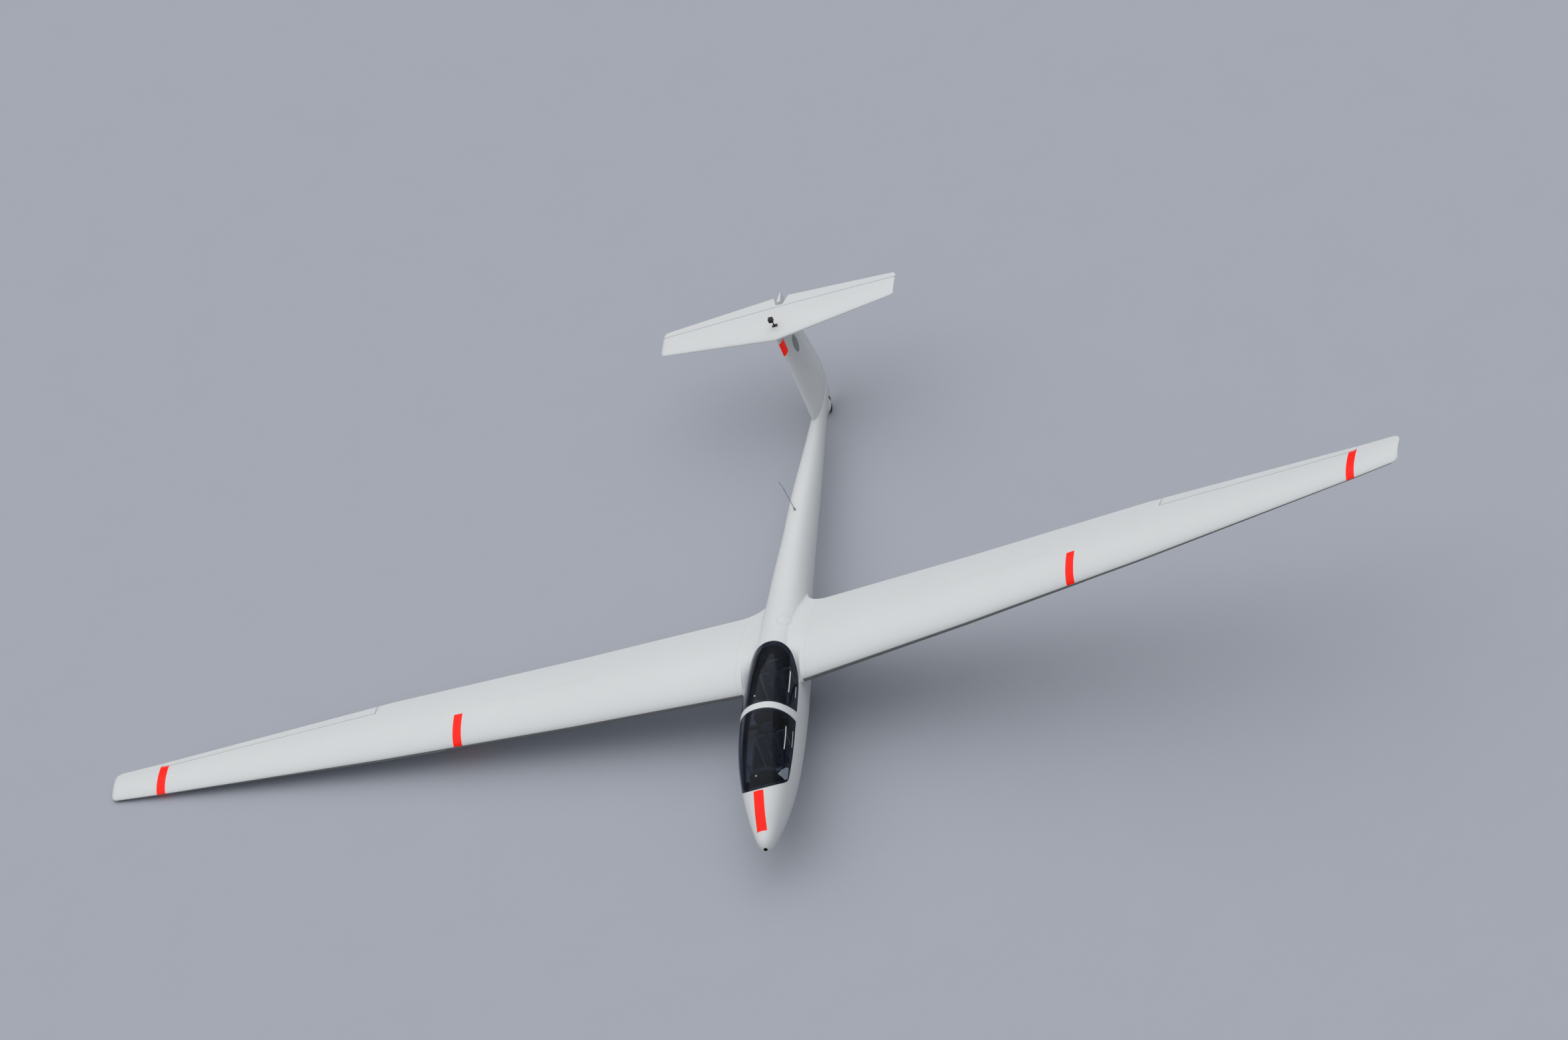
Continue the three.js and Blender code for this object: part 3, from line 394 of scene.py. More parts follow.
def makeBand():
    # 1 between two values, rising and falling over a soft edge inside them
    defaults = {"Value": 0.0, "From": 0.0, "To": 1.0, "Edge": 0.002}
    inputs = [(label, "NodeSocketFloat", value) for label, value in defaults.items()]
    group, start, end = newGroup("band", inputs, [("Mask", "NodeSocketFloat")])
    value, low, high, edge = (start.outputs[label] for label in defaults)
    rising = sums(group, "DIVIDE", minus(group, value, low), edge, clamp=True)
    falling = sums(group, "DIVIDE", minus(group, high, value), edge, clamp=True)
    group.links.new(times(group, rising, falling), end.inputs["Mask"])
    return group


wearShape = {
    "slow": (1.3, 3.0),  # scale and detail of the slow change of tone
    "dust": (9.0, 5.0, 0.62),  # scale, detail and roughness of the dust
    "dustFrom": 0.42,
    "dustGain": 2.5,
    "dustMean": 0.3,
    "dustColour": (0.45, 0.42, 0.38, 1),
}


def makeFinishWear():
    # slow tone changes, fine dust and a slightly uneven gloss for any finish
    number, colour = "NodeSocketFloat", "NodeSocketColor"
    inputs = [
        ("Color", colour, (0.8, 0.8, 0.8, 1)),
        ("Dust Color", colour, wearShape["dustColour"]),
        ("Dust", number, 0.1),
        ("Tone", number, 0.05),
        ("Roughness", number, 0.3),
        ("Roughness Change", number, 0.1),
        ("Grain Scale", number, 300.0),
    ]
    outputs = [("Color", colour), ("Roughness", number), ("Grain", number)]
    group, start, end = newGroup("finishWear", inputs, outputs)
    place = objectPlace(group)
    slow = noiseAt(group, place, *wearShape["slow"])
    dusty = minus(group, noiseAt(group, place, *wearShape["dust"]), wearShape["dustFrom"])
    dusty = sums(group, "MULTIPLY", dusty, wearShape["dustGain"], clamp=True)
    grain = noiseAt(group, place, start.outputs["Grain Scale"])
    shade = times(group, minus(group, slow, 0.5), start.outputs["Tone"])
    bright = group.nodes.new("ShaderNodeVectorMath")
    bright.operation = "SCALE"
    group.links.new(start.outputs["Color"], bright.inputs[0])
    group.links.new(sums(group, "ADD", shade, 1.0), bright.inputs["Scale"])
    share = times(group, dusty, start.outputs["Dust"])
    dusted = mixColours(group, share, bright.outputs[0], start.outputs["Dust Color"])
    uneven = times(group, minus(group, dusty, wearShape["dustMean"]), start.outputs["Roughness Change"])
    gloss = sums(group, "ADD", uneven, start.outputs["Roughness"], clamp=True)
    for label, value in (("Color", dusted), ("Roughness", gloss), ("Grain", grain)):
        group.links.new(value, end.inputs[label])
    return group


gliderPlace = makeGliderPlace()
band = makeBand()
finishWear = makeFinishWear()

paintColours = {
    "white": (0.735, 0.74, 0.735, 1),
    "stripe": (1.0, 0.004, 0.0, 1),
    # painted glow: the stripes are given a little emitted light so they read brighter than their paint can
    "paintedGlow": (0.17, 0.006, 0.0, 1),  # the stripes' bright paint gives off a little light
    "noGlow": (0.0, 0.0, 0.0, 1.0),
    "disc": (0.235, 0.27, 0.235, 1),
    "line": (0.30, 0.31, 0.32, 1),
    "seam": (0.42, 0.43, 0.44, 1),
    # hinge lines: partly seal tape, partly painted shade of the gap between the moving and the fixed surface
    "hinge": (0.34, 0.35, 0.36, 1),
}


def hardFinish(name, colour, roughness, dust=0.1, tone=0.05, change=0.1, grain=300.0, bump=0.02, metallic=0.0,
               coat=0.0, dustColour=wearShape["dustColour"], marks=None, shine=0.5):
    # a hard finish with its wear. marks gives the mask of each thing painted on it, and its colour's name
    material, tree, shader = newMaterial(name)
    for mask, mark in (marks(tree) if marks else []):
        colour = mixColours(tree, mask, colour, paintColours[mark])
        # the stripes also get painted glow, emitted light standing in for their brightness
        if mark == "stripe":
            paintedGlow = mixColours(tree, mask, paintColours["noGlow"], paintColours["paintedGlow"])
            feed(tree, shader.inputs["Emission Color"], paintedGlow)
            feed(tree, shader.inputs["Emission Strength"], 1.0)
    wear = useGroup(tree, finishWear, Color=colour, Dust=dust, Tone=tone, Roughness=roughness,
                    Roughness_Change=change, Grain_Scale=grain, Dust_Color=dustColour)
    values = {"Base Color": wear.outputs["Color"], "Roughness": wear.outputs["Roughness"],
              "Metallic": metallic, "Coat Weight": coat, "Coat Roughness": 0.08, "Specular IOR Level": shine}
    for label, value in values.items():
        feed(tree, shader.inputs[label], value)
    addBump(tree, shader, wear.outputs["Grain"], bump, 0.002)
    return material


# What is painted on the white finish, in metres across, aft and up

farOff = 9.0  # further than any point of the glider
markPlaces = {
    "wingStripes": [(4.0, 4.11, 2.985), (7.81, 7.92, 3.07)],  # across from, across to, aft to
    "rootSeam": (0.4535, 0.4565),
    # aileron and elevator: dark lines over the hinge gaps, partly seal tape and partly painted shade of the
    # gap
    "aileron": {"x": 5.2, "y": 3.3502, "slope": 0.1123, "outer": 7.9, "half": 0.005, "end": 0.006,
                "edge": 0.003},
    "elevator": (8.0755, 8.0845, 0.002),
    "noseStripe": [(-0.066, 0.066), (0.172, 0.66), (-0.16, 0.5)],
    "cover": {"centre": (0.128, 3.419), "radius": 0.085, "above": 0.2},
    "finStripe": {"up": (0.97, 1.14), "slope": 0.2525, "aft": (0.0, 7.366)},
    "finDisc": {"centre": (7.88, 0.83), "radius": 0.11},
    "finRing": {"centre": (7.855, 0.575), "radius": 0.088},
    "lineHalf": 0.0016,
}


def bandMask(tree, value, low, high, edge=0.0015):
    return useGroup(tree, band, Value=value, From=low, To=high, Edge=edge).outputs["Mask"]


def distanceTo(tree, first, second, centre):
    squares = [sums(tree, "POWER", minus(tree, value, at), 2.0) for value, at in zip((first, second), centre)]
    return sums(tree, "SQRT", sums(tree, "ADD", *squares))


def roundLine(tree, first, second, mark):
    # a thin circle
    reach, half = distanceTo(tree, first, second, mark["centre"]), markPlaces["lineHalf"]
    return bandMask(tree, reach, mark["radius"] - half, mark["radius"] + half, 0.001)


def wingMarks(tree):
    place = useGroup(tree, gliderPlace)
    across, aft = sums(tree, "ABSOLUTE", place.outputs["Across"]), place.outputs["Aft"]
    stripes = [times(tree, bandMask(tree, across, low, high), bandMask(tree, aft, -1.0, rear))
               for low, high, rear in markPlaces["wingStripes"]]
    # the aileron's hinge line and its inner end: partly seal tape, partly painted shade of the gaps there
    mark = markPlaces["aileron"]
    slant = times(tree, minus(tree, across, mark["x"]), mark["slope"])
    behind = sums(tree, "ADD", minus(tree, aft, mark["y"]), slant)
    line = times(tree, bandMask(tree, behind, -mark["half"], mark["half"], mark["edge"]),
                 bandMask(tree, across, mark["x"], mark["outer"]))
    end = times(tree, bandMask(tree, behind, 0.0, 1.0),
                bandMask(tree, across, mark["x"] - mark["end"], mark["x"] + mark["end"], mark["edge"]))
    return [(sums(tree, "MAXIMUM", *stripes), "stripe"),
            (bandMask(tree, across, *markPlaces["rootSeam"]), "seam"),
            (sums(tree, "MAXIMUM", line, end), "hinge")]


def tailMarks(tree):
    aft = useGroup(tree, gliderPlace).outputs["Aft"]
    # the elevator's hinge line: partly seal tape, partly painted shade of the gap
    return [(bandMask(tree, aft, *markPlaces["elevator"]), "hinge")]


def bodyMarks(tree):
    across, aft, up = useGroup(tree, gliderPlace).outputs
    stripe = times(tree, *[bandMask(tree, value, *ends)
                           for value, ends in zip((across, aft, up), markPlaces["noseStripe"])])
    cover = times(tree, roundLine(tree, across, aft, markPlaces["cover"]),
                  bandMask(tree, up, markPlaces["cover"]["above"], farOff))
    seam = bandMask(tree, sums(tree, "ABSOLUTE", across), *markPlaces["rootSeam"])
    return [(stripe, "stripe"), (cover, "line"), (seam, "seam")]


def finMarks(tree):
    across, aft, up = useGroup(tree, gliderPlace).outputs
    stripe, disc = markPlaces["finStripe"], markPlaces["finDisc"]
    behindLead = minus(tree, aft, times(tree, up, stripe["slope"]))
    striped = times(tree, bandMask(tree, up, *stripe["up"]), bandMask(tree, behindLead, *stripe["aft"]))
    inDisc = bandMask(tree, distanceTo(tree, aft, up, disc["centre"]), -1.0, disc["radius"])
    ring = roundLine(tree, aft, up, markPlaces["finRing"])
    return [(striped, "stripe"),
            (times(tree, inDisc, bandMask(tree, across, 0.0, 1.0)), "disc"),
            (times(tree, ring, bandMask(tree, across, 0.0, farOff)), "line")]


gelcoatValues = {"roughness": 0.32, "dust": 0.02, "tone": 0.04, "change": 0.08, "grain": 40.0,
                 "bump": 0.003, "shine": 0.2}
gelcoatWing = hardFinish("gelcoatWing", paintColours["white"], marks=wingMarks, **gelcoatValues)
gelcoatBody = hardFinish("gelcoatBody", paintColours["white"], marks=bodyMarks, **gelcoatValues)
gelcoatFin = hardFinish("gelcoatFin", paintColours["white"], marks=finMarks, **gelcoatValues)
gelcoatTail = hardFinish("gelcoatTail", paintColours["white"], marks=tailMarks, **gelcoatValues)
# painted shade: the dark grey given to the underside of the leading edge
edgeShadePaint = hardFinish("edgeShadePaint", (0.17, 0.175, 0.17, 1), 0.5, dust=0.1, bump=0.02)
# the cockpit's lining, painted far darker than its real light grey, as painted shade inside the cockpit
liningWithPaintedShade = hardFinish("liningWithPaintedShade", (0.06, 0.064, 0.073, 1), 0.6, dust=0.2, bump=0.15, grain=500.0)
seatShell = hardFinish("seatShell", (0.23, 0.24, 0.25, 1), 0.5, dust=0.2, bump=0.15, grain=500.0)
canopyFrameFinish = hardFinish("canopyFrameFinish", (0.018, 0.019, 0.022, 1), 0.42, dust=0.08, bump=0.05)
panelFinish = hardFinish("panelFinish", (0.02, 0.021, 0.023, 1), 0.62, dust=0.12, bump=0.25, grain=900.0)
airbrakeFinish = hardFinish("airbrakeFinish", (0.55, 0.56, 0.57, 1), 0.38, dust=0.15, metallic=0.85,
                            bump=0.04)
steel = hardFinish("steel", (0.42, 0.43, 0.44, 1), 0.35, dust=0.2, metallic=0.9, bump=0.05)
rimFinish = hardFinish("rimFinish", (0.62, 0.63, 0.64, 1), 0.36, dust=0.3, metallic=0.75, bump=0.08)
blackPlastic = hardFinish("blackPlastic", (0.014, 0.014, 0.015, 1), 0.5, dust=0.1, bump=0.3, grain=800.0)
rubber = hardFinish("rubber", (0.019, 0.019, 0.02, 1), 0.78, dust=0.35, tone=0.2, bump=0.35, grain=500.0,
                    dustColour=(0.07, 0.065, 0.06, 1))


glassValues = {"tint": (0.38, 0.44, 0.57, 1), "deepTint": (0.36, 0.42, 0.54, 1), "tintScale": 2.0,
               "roughness": 0.01, "haze": 0.02, "hazeNoise": (14.0, 4.0), "bend": 1.2,
               "clear": (0.75, 0.78, 0.84, 1)}


def makeGlass():
    # tinted glass with a faint haze, which lets light through to the cockpit
    material, tree, shader = newMaterial("canopyGlass")
    feed(tree, shader.inputs["Transmission Weight"], 1.0)
    feed(tree, shader.inputs["IOR"], glassValues["bend"])
    place = objectPlace(tree)
    haze = times(tree, noiseAt(tree, place, *glassValues["hazeNoise"]), glassValues["haze"])
    feed(tree, shader.inputs["Roughness"], sums(tree, "ADD", haze, glassValues["roughness"]))
    tone = noiseAt(tree, place, glassValues["tintScale"])
    tint = mixColours(tree, tone, glassValues["tint"], glassValues["deepTint"])
    feed(tree, shader.inputs["Base Color"], tint)
    clear = tree.nodes.new("ShaderNodeBsdfTransparent")
    clear.inputs[0].default_value = glassValues["clear"]
    path = tree.nodes.new("ShaderNodeLightPath")
    either = tree.nodes.new("ShaderNodeMixShader")
    for i, value in enumerate((path.outputs["Is Shadow Ray"], shader.outputs[0], clear.outputs[0])):
        tree.links.new(value, either.inputs[i])
    tree.links.new(either.outputs[0], tree.nodes["Material Output"].inputs["Surface"])
    return material


clothWear = {"Dust": 0.12, "Tone": 0.35, "Roughness": 0.9, "Roughness_Change": 0.05, "Grain_Scale": 300.0}


def makeCloth(name, colour, weave, strength):
    # woven cloth: two crossing threads as bump, with a slow change of tone
    material, tree, shader = newMaterial(name)
    place = objectPlace(tree)
    threads = []
    for direction in ("X", "Y"):
        wave = tree.nodes.new("ShaderNodeTexWave")
        wave.bands_direction = direction
        for label, value in (("Scale", weave), ("Distortion", 0.6), ("Vector", place)):
            feed(tree, wave.inputs[label], value)
        threads.append(wave.outputs["Fac"])
    addBump(tree, shader, sums(tree, "MAXIMUM", *threads), strength, 0.001)
    wear = useGroup(tree, finishWear, Color=colour, **clothWear)
    feed(tree, shader.inputs["Base Color"], wear.outputs["Color"])
    feed(tree, shader.inputs["Roughness"], wear.outputs["Roughness"])
    feed(tree, shader.inputs["Sheen Weight"], 0.06)
    return material


glass = makeGlass()
cushionCloth = makeCloth("cushionCloth", (0.018, 0.022, 0.034, 1), 160.0, 0.5)
webbing = makeCloth("webbing", (0.045, 0.05, 0.06, 1), 260.0, 0.6)
dialFace = hardFinish("dialFace", (0.012, 0.012, 0.014, 1), 0.25, dust=0.02, bump=0.02)
dialWhite = hardFinish("dialWhite", (0.75, 0.75, 0.73, 1), 0.5, dust=0.05, bump=0.02)
buttonRed = hardFinish("buttonRed", (0.5, 0.02, 0.015, 1), 0.4, dust=0.1, bump=0.05)
leverBlue = hardFinish("leverBlue", (0.02, 0.09, 0.42, 1), 0.4, dust=0.12, bump=0.05)
leverGreen = hardFinish("leverGreen", (0.02, 0.22, 0.08, 1), 0.4, dust=0.12, bump=0.05)
lensGlass = hardFinish("lensGlass", (0.01, 0.012, 0.02, 1), 0.06, dust=0.02, bump=0.0, coat=1.0)
windowPane = hardFinish("windowPane", (0.20, 0.24, 0.28, 1), 0.2, dust=0.1, bump=0.01, coat=0.6)
print("materials ready")

# Fuselage: superellipse sections through these rows
# columns: y, half width, z of the top, z of the widest line, z of the bottom

fuselage = {
    "rows": [
        [0, 0.014, -0.190, -0.205, -0.220],
        [0.014, 0.046, -0.152, -0.202, -0.252],
        [0.06, 0.084, -0.107, -0.194, -0.288],
        [0.18, 0.134, -0.052, -0.168, -0.332],
        [0.4, 0.200, 0.062, -0.118, -0.388],
        [0.67, 0.262, 0.168, -0.062, -0.438],
        [0.86, 0.300, 0.258, -0.024, -0.462],
        [1.05, 0.325, 0.332, -0.004, -0.477],
        [1.25, 0.345, 0.390, 0.012, -0.487],
        [1.52, 0.357, 0.438, 0.030, -0.494],
        [1.83, 0.361, 0.461, 0.044, -0.497],
        [2.12, 0.359, 0.471, 0.054, -0.496],
        [2.4, 0.352, 0.468, 0.060, -0.491],
        [2.75, 0.335, 0.445, 0.062, -0.478],
        [3.035, 0.318, 0.400, 0.060, -0.452],
        [3.24, 0.304, 0.372, 0.056, -0.426],
        [3.52, 0.285, 0.348, 0.052, -0.384],
        [3.855, 0.262, 0.324, 0.044, -0.330],
        [4.515, 0.228, 0.288, 0.030, -0.262],
        [5.02, 0.200, 0.248, 0.006, -0.238],
        [5.94, 0.165, 0.185, -0.012, -0.212],
        [6.49, 0.137, 0.130, -0.034, -0.200],
        [7.1, 0.103, 0.070, -0.058, -0.186],
        [7.6, 0.070, 0.040, -0.075, -0.184],
        [7.9, 0.048, 0.018, -0.088, -0.188],
        [8.04, 0.034, 0.008, -0.094, -0.192],
    ],
    "fullness": 2.2,
    "sides": 96,
    "stations": 84,
    "skin": 0.012,
    "length": 8.04,
    "cockpit": (0.15, 2.99),
}
fuselageAt = smoothRows(fuselage["rows"], squareRoot=True)


def fuselageRing(y, inset=0.0):
    half, top, middle, bottom = fuselageAt(y)
    ring = []
    for angle in np.linspace(0, 2 * math.pi, fuselage["sides"], endpoint=False):
        c, s = math.cos(angle), math.sin(angle)
        height = (top - middle if s > 0 else middle - bottom) - inset
        power = 2 / fuselage["fullness"]
        x = (half - inset) * math.copysign(abs(c) ** power, c)
        z = middle + height * math.copysign(abs(s) ** power, s)
        ring.append((x, y, z))
    return ring


def fuselageLoft(name, first, last, inset=0.0, count=None):
    count = count or max(12, int(fuselage["stations"] * (math.sqrt(last) - math.sqrt(first)) / 2.8))
    keys = np.linspace(math.sqrt(first), math.sqrt(last), count) ** 2
    return loftPiece(name, [fuselageRing(y, inset) for y in keys])


def fuselageSide(y, z):
    # half width of the fuselage at a height
    half, top, middle, bottom = fuselageAt(min(max(y, 0.0), fuselage["length"]))
    height = top - middle if z > middle else middle - bottom
    share = min(abs(z - middle) / height, 1.0)
    return half * (1 - share ** fuselage["fullness"]) ** (1 / fuselage["fullness"])


# Aerofoils: a ring from the upper trailing edge over the nose to the lower trailing edge

trailingHalf = 0.0015


def foilHalf(share, ratio):
    return 5 * ratio * (0.2969 * math.sqrt(share) - 0.126 * share - 0.3516 * share**2
                        + 0.2843 * share**3 - 0.1036 * share**4)


def foilRing(chord, ratio, camber=0.0, count=30):
    shares = [(1 - math.cos(math.pi * i / count)) / 2 for i in range(count, -1, -1)]
    upper, lower = [], []
    for share in shares:
        mean = 4 * camber * share * (1 - share) * chord
        half = chord * foilHalf(share, ratio) + trailingHalf * share
        upper.append((share * chord, mean + half))
        lower.append((share * chord, mean - half))
    return upper + lower[::-1][1:]


wing = {
    "rows": [  # x, y of the leading edge, chord, thickness ratio
        [0.3853, 2.460, 1.395, 0.19],
        [2.6, 2.497, 1.214, 0.177],
        [5.0, 2.538, 1.013, 0.16],
        [7.93, 2.588, 0.553, 0.135],
        [8.42, 2.600, 0.475, 0.125],
        [8.472, 2.616, 0.432, 0.1],
        [8.5, 2.656, 0.340, 0.05],
    ],
    "stations": 24,
    "lastStation": 8.42,
    "breaks": (2.6, 5.0, 7.93),
    "tip": (8.445, 8.46, 8.472, 8.482, 8.49, 8.4965, 8.5),
    "camber": 0.035,
    "root": (0.385, 0.137),
    "dihedral": math.tan(math.radians(4)),
    "tipRise": 0.25,
    "halfSpan": 8.5,
    "aileron": (5.2, 7.9, 0.176),  # across from, across to, share of the chord
    "gap": 0.0025,
    "endGap": 0.0035,
}


def wingHeight(x):
    start, height = wing["root"]
    out = max(abs(x) - start, 0)
    return height + wing["dihedral"] * out + wing["tipRise"] * (out / (wing["halfSpan"] - start)) ** 2


def wingLevel(x):
    # the chord line's height runs straight between the rows
    keys = [row[0] for row in wing["rows"]]
    return float(np.interp(x, keys, [wingHeight(key) for key in keys]))


def wingRing(x, side):
    lead, chord, ratio = rowAt(wing["rows"], x)
    return [(side * x, lead + y, wingLevel(x) + z) for y, z in foilRing(chord, ratio, wing["camber"])]


def wingLoft(name, side):
    even = np.linspace(wing["rows"][0][0], wing["lastStation"], wing["stations"])
    keys = {round(float(key), 4) for key in (*even, *wing["breaks"], *wing["tip"])}
    return loftPiece(name, [wingRing(x, side) for x in sorted(keys)])


def hingeAxes(start, end):
    start, end = np.array(start, float), np.array(end, float)
    along = end - start
    length = float(np.linalg.norm(along))
    along = along / length
    aft = np.array((0.0, 1.0, 0.0)) - along * along[1]
    aft = aft / np.linalg.norm(aft)
    return {"start": start, "along": along, "aft": aft, "up": np.cross(along, aft), "length": length}


def hingePoint(axes, a, f, u):
    # a along the hinge, f aft of it, u up from it
    return axes["start"] + axes["along"] * a + axes["aft"] * f + axes["up"] * u


def hingeSlab(name, axes, a0, a1, f0, f1, u0, u1):
    corners = [(f0, u0), (f1, u0), (f1, u1), (f0, u1)]
    return loftPiece(name, [[hingePoint(axes, a, f, u) for f, u in corners] for a in (a0, a1)])


def hingeBar(name, axes, stations, sides=32):
    # a round bar along the hinge through (distance, radius) stations
    turn = np.linspace(0, 2 * math.pi, sides, endpoint=False)
    rings = [
        [hingePoint(axes, a, radius * math.cos(t), radius * math.sin(t)) for t in turn]
        for a, radius in stations
    ]
    return loftPiece(name, rings)


hingeCut = {"aft": 1.2, "up": 0.6, "ahead": -0.002, "inside": 0.0004}


def splitAtHinge(whole, movingName, axes, noses, gap, endGap):
    # what lies behind the hinge becomes a piece of its own with a round nose, and the rest gets a
    # cove for it. noses are (share of the length, radius)
    length, aft, up = axes["length"], hingeCut["aft"], hingeCut["up"]
    moving = sameAgain(whole, movingName)
    behind = hingeSlab("cutBehind", axes, endGap, length - endGap, hingeCut["ahead"], aft, -up, up)
    combine(moving, behind, "INTERSECT")
    barEnd = endGap + hingeCut["inside"]
    stations = [(min(max(share * length, barEnd), length - barEnd), radius) for share, radius in noses]
    combine(moving, paint(hingeBar("nose", axes, stations), moving.data.materials[0]), "UNION")
    combine(whole, hingeSlab("cutBehind", axes, 0, length, 0, aft, -up, up))
    combine(whole, hingeBar("cove", axes, [(share * length, radius + gap) for share, radius in noses]))
    return moving


def aileronLine(side):
    ends = []
    for x in wing["aileron"][:2]:
        lead, chord, ratio = rowAt(wing["rows"], x)
        share = 1 - wing["aileron"][2]
        lift = 4 * wing["camber"] * share * (1 - share) * chord
        ends.append(((side * x, lead + share * chord, wingLevel(x) + lift),
                     chord * foilHalf(share, ratio) + trailingHalf))
    return ends


airbrake = {
    "from": 2.35,
    "to": 3.75,
    "share": 0.54,  # of the chord
    "cap": 0.044,
    "capDepth": 0.012,
    "blade": 0.008,
    "height": 0.14,
    "gap": 0.0009,
    "room": 0.006,  # round the blade
    "boxEnd": 0.001,
    "slotDeeper": 0.004,
    "over": 0.08,
    "holes": 18,
    "hole": 0.022,
    "holeLevel": 0.52,
    "holeReach": 0.02,
}


def airbrakeAxes(side):
    ends = []
    for x in (airbrake["from"], airbrake["to"]):
        lead, chord, ratio = rowAt(wing["rows"], x)
        share = airbrake["share"]
        rise = 4 * wing["camber"] * share * (1 - share) + foilHalf(share, ratio)
        ends.append((side * x, lead + share * chord, wingLevel(x) + rise * chord))
    return hingeAxes(*ends)


def makeAirbrake(whole, word, side):
    # a cap cut from the wing's skin, the blade under it, and the slot and box that they lie in
    axes = airbrakeAxes(side)
    length, height, room = axes["length"], airbrake["height"], airbrake["room"]
    gap, deep, over = airbrake["gap"], airbrake["capDepth"], airbrake["over"]
    halfCap, halfBlade = airbrake["cap"] / 2, airbrake["blade"] / 2

    def slab(name, inset, half, low, high):
        levels = (low, high) if side > 0 else (-high, -low)
        return hingeSlab(name, axes, inset, length - inset, -half, half, *levels)

    cap = sameAgain(whole, f"{word}AirbrakeCap")
    combine(cap, slab("cutCap", gap, halfCap, -deep, over), "INTERSECT")
    combine(whole, slab("cutSlot", 0, halfCap + gap, -deep - airbrake["slotDeeper"], over))
    box = slab("cutBox", airbrake["boxEnd"], halfBlade + room, -height - room, 0)
    combine(whole, paint(box, seatShell))
    blade = paint(slab(f"{word}Airbrake", room, halfBlade, -height, -room), airbrakeFinish)
    for i in range(airbrake["holes"]):
        along = length * (i + 0.5) / airbrake["holes"]
        centre = hingePoint(axes, along, 0, -side * height * airbrake["holeLevel"])
        ends = [centre + axes["aft"] * reach for reach in (-airbrake["holeReach"], airbrake["holeReach"])]
        rings = [circleAbout(at, axes["aft"], airbrake["hole"], 20) for at in ends]
        combine(blade, loftPiece("cutHole", rings))
    setDown(cap, f"{word}_airbrake_body")
    setDown(blade, f"{word}_airbrake_body", [f"{word}_airbrake"])


# which faces under the leading edge take the painted shade: across from, across to, and limits of their
# normals
underEdgeShade = {"from": 0.46, "to": 8.40, "forward": -0.5, "up": (-0.6, 0.28)}  # the last two are of face normals


def paintEdgeShade(piece):
    # painted shade: the faces under the leading edge that face forward and down get a dark grey, standing in
    # for the shade there
    piece.data.materials.append(edgeShadePaint)
    low, high = underEdgeShade["up"]
    for face in piece.data.polygons:
        faces = face.normal.y < underEdgeShade["forward"] and low < face.normal.z < high
        if faces and underEdgeShade["from"] < abs(face.center.x) < underEdgeShade["to"]:
            face.material_index = 1


def makeWing(word, side):
    whole = paint(wingLoft(f"{word}Wing", side), gelcoatWing)
    paintEdgeShade(whole)
    inner, outer = aileronLine(side)
    noses = [(0, inner[1]), (1, outer[1])]
    axes = hingeAxes(inner[0], outer[0])
    aileron = splitAtHinge(whole, f"{word}Aileron", axes, noses, wing["gap"], wing["endGap"])
    makeAirbrake(whole, word, side)
    setDown(whole, "airframe", [f"{word}_wing"], angle=25)
    setDown(aileron, f"{word}_aileron_body", [f"{word}_aileron"], angle=25)
    print(word, "wing made")


makeWing("left", 1)
makeWing("right", -1)

# Tail

fin = {
    "rows": [  # z, y of the leading edge, y of the trailing edge, thickness
        [-0.238, 7.720, 8.085, 0.084],
        [-0.160, 7.540, 8.158, 0.096],
        [-0.040, 7.360, 8.250, 0.108],
        [0.070, 7.290, 8.322, 0.112],
        [0.200, 7.317, 8.345, 0.110],
        [0.700, 7.443, 8.345, 0.096],
        [1.195, 7.568, 8.345, 0.084],
        [1.320, 7.600, 8.345, 0.080],
    ],
    "hinge": ((0, 8.004, -0.24), (0, 8.160, 1.32)),
    "noses": [(0, 0.024), (0.28, 0.034), (1, 0.023)],
    "gap": 0.003,
    "endGap": 0.0055,
    "foot": -0.03,  # where it ends inside the boom
    "cap": (8.02, 1.196),  # behind this y it ends at this z, under the elevator
}
tailplane = {
    "rows": [  # x, y of the leading edge, chord, thickness ratio
        [0, 7.490, 0.800, 0.115],
        [1.4, 7.738, 0.445, 0.11],
        [1.52, 7.762, 0.408, 0.09],
        [1.55, 7.790, 0.340, 0.05],
    ],
    "keys": [0, 0.3, 0.7, 1.1, 1.4, 1.46, 1.5, 1.52, 1.535, 1.545, 1.55],
    "level": 1.263,
    "hinge": ((-1.545, 8.08, 1.263), (1.545, 8.08, 1.263)),
    "noses": [(0, 0.013), (0.5, 0.027), (1, 0.013)],
    "notch": [(0.046, 8.118), (0.112, 8.33), (0.112, 8.6), (-0.112, 8.6), (-0.112, 8.33), (-0.046, 8.118)],
    "gap": 0.003,
    "endGap": 0.002,
}
finAt = smoothRows([[row[0] + 1] + row[1:] for row in fin["rows"]])


def finLoft(name, low, high, count):
    rings = []
    for z in np.linspace(low, high, count):
        lead, trail, thick = finAt(z + 1)
        chord = trail - lead
        rings.append([(u, lead + y, z) for y, u in foilRing(chord, thick / chord)])
    return loftPiece(name, rings)


def tailplaneLoft(name):
    keys = tailplane["keys"]
    rings = []
    for x in [-key for key in keys[:0:-1]] + keys:
        lead, chord, ratio = rowAt(tailplane["rows"], abs(x))
        rings.append([(x, lead + y, tailplane["level"] + u) for y, u in foilRing(chord, ratio)])
    return loftPiece(name, rings)


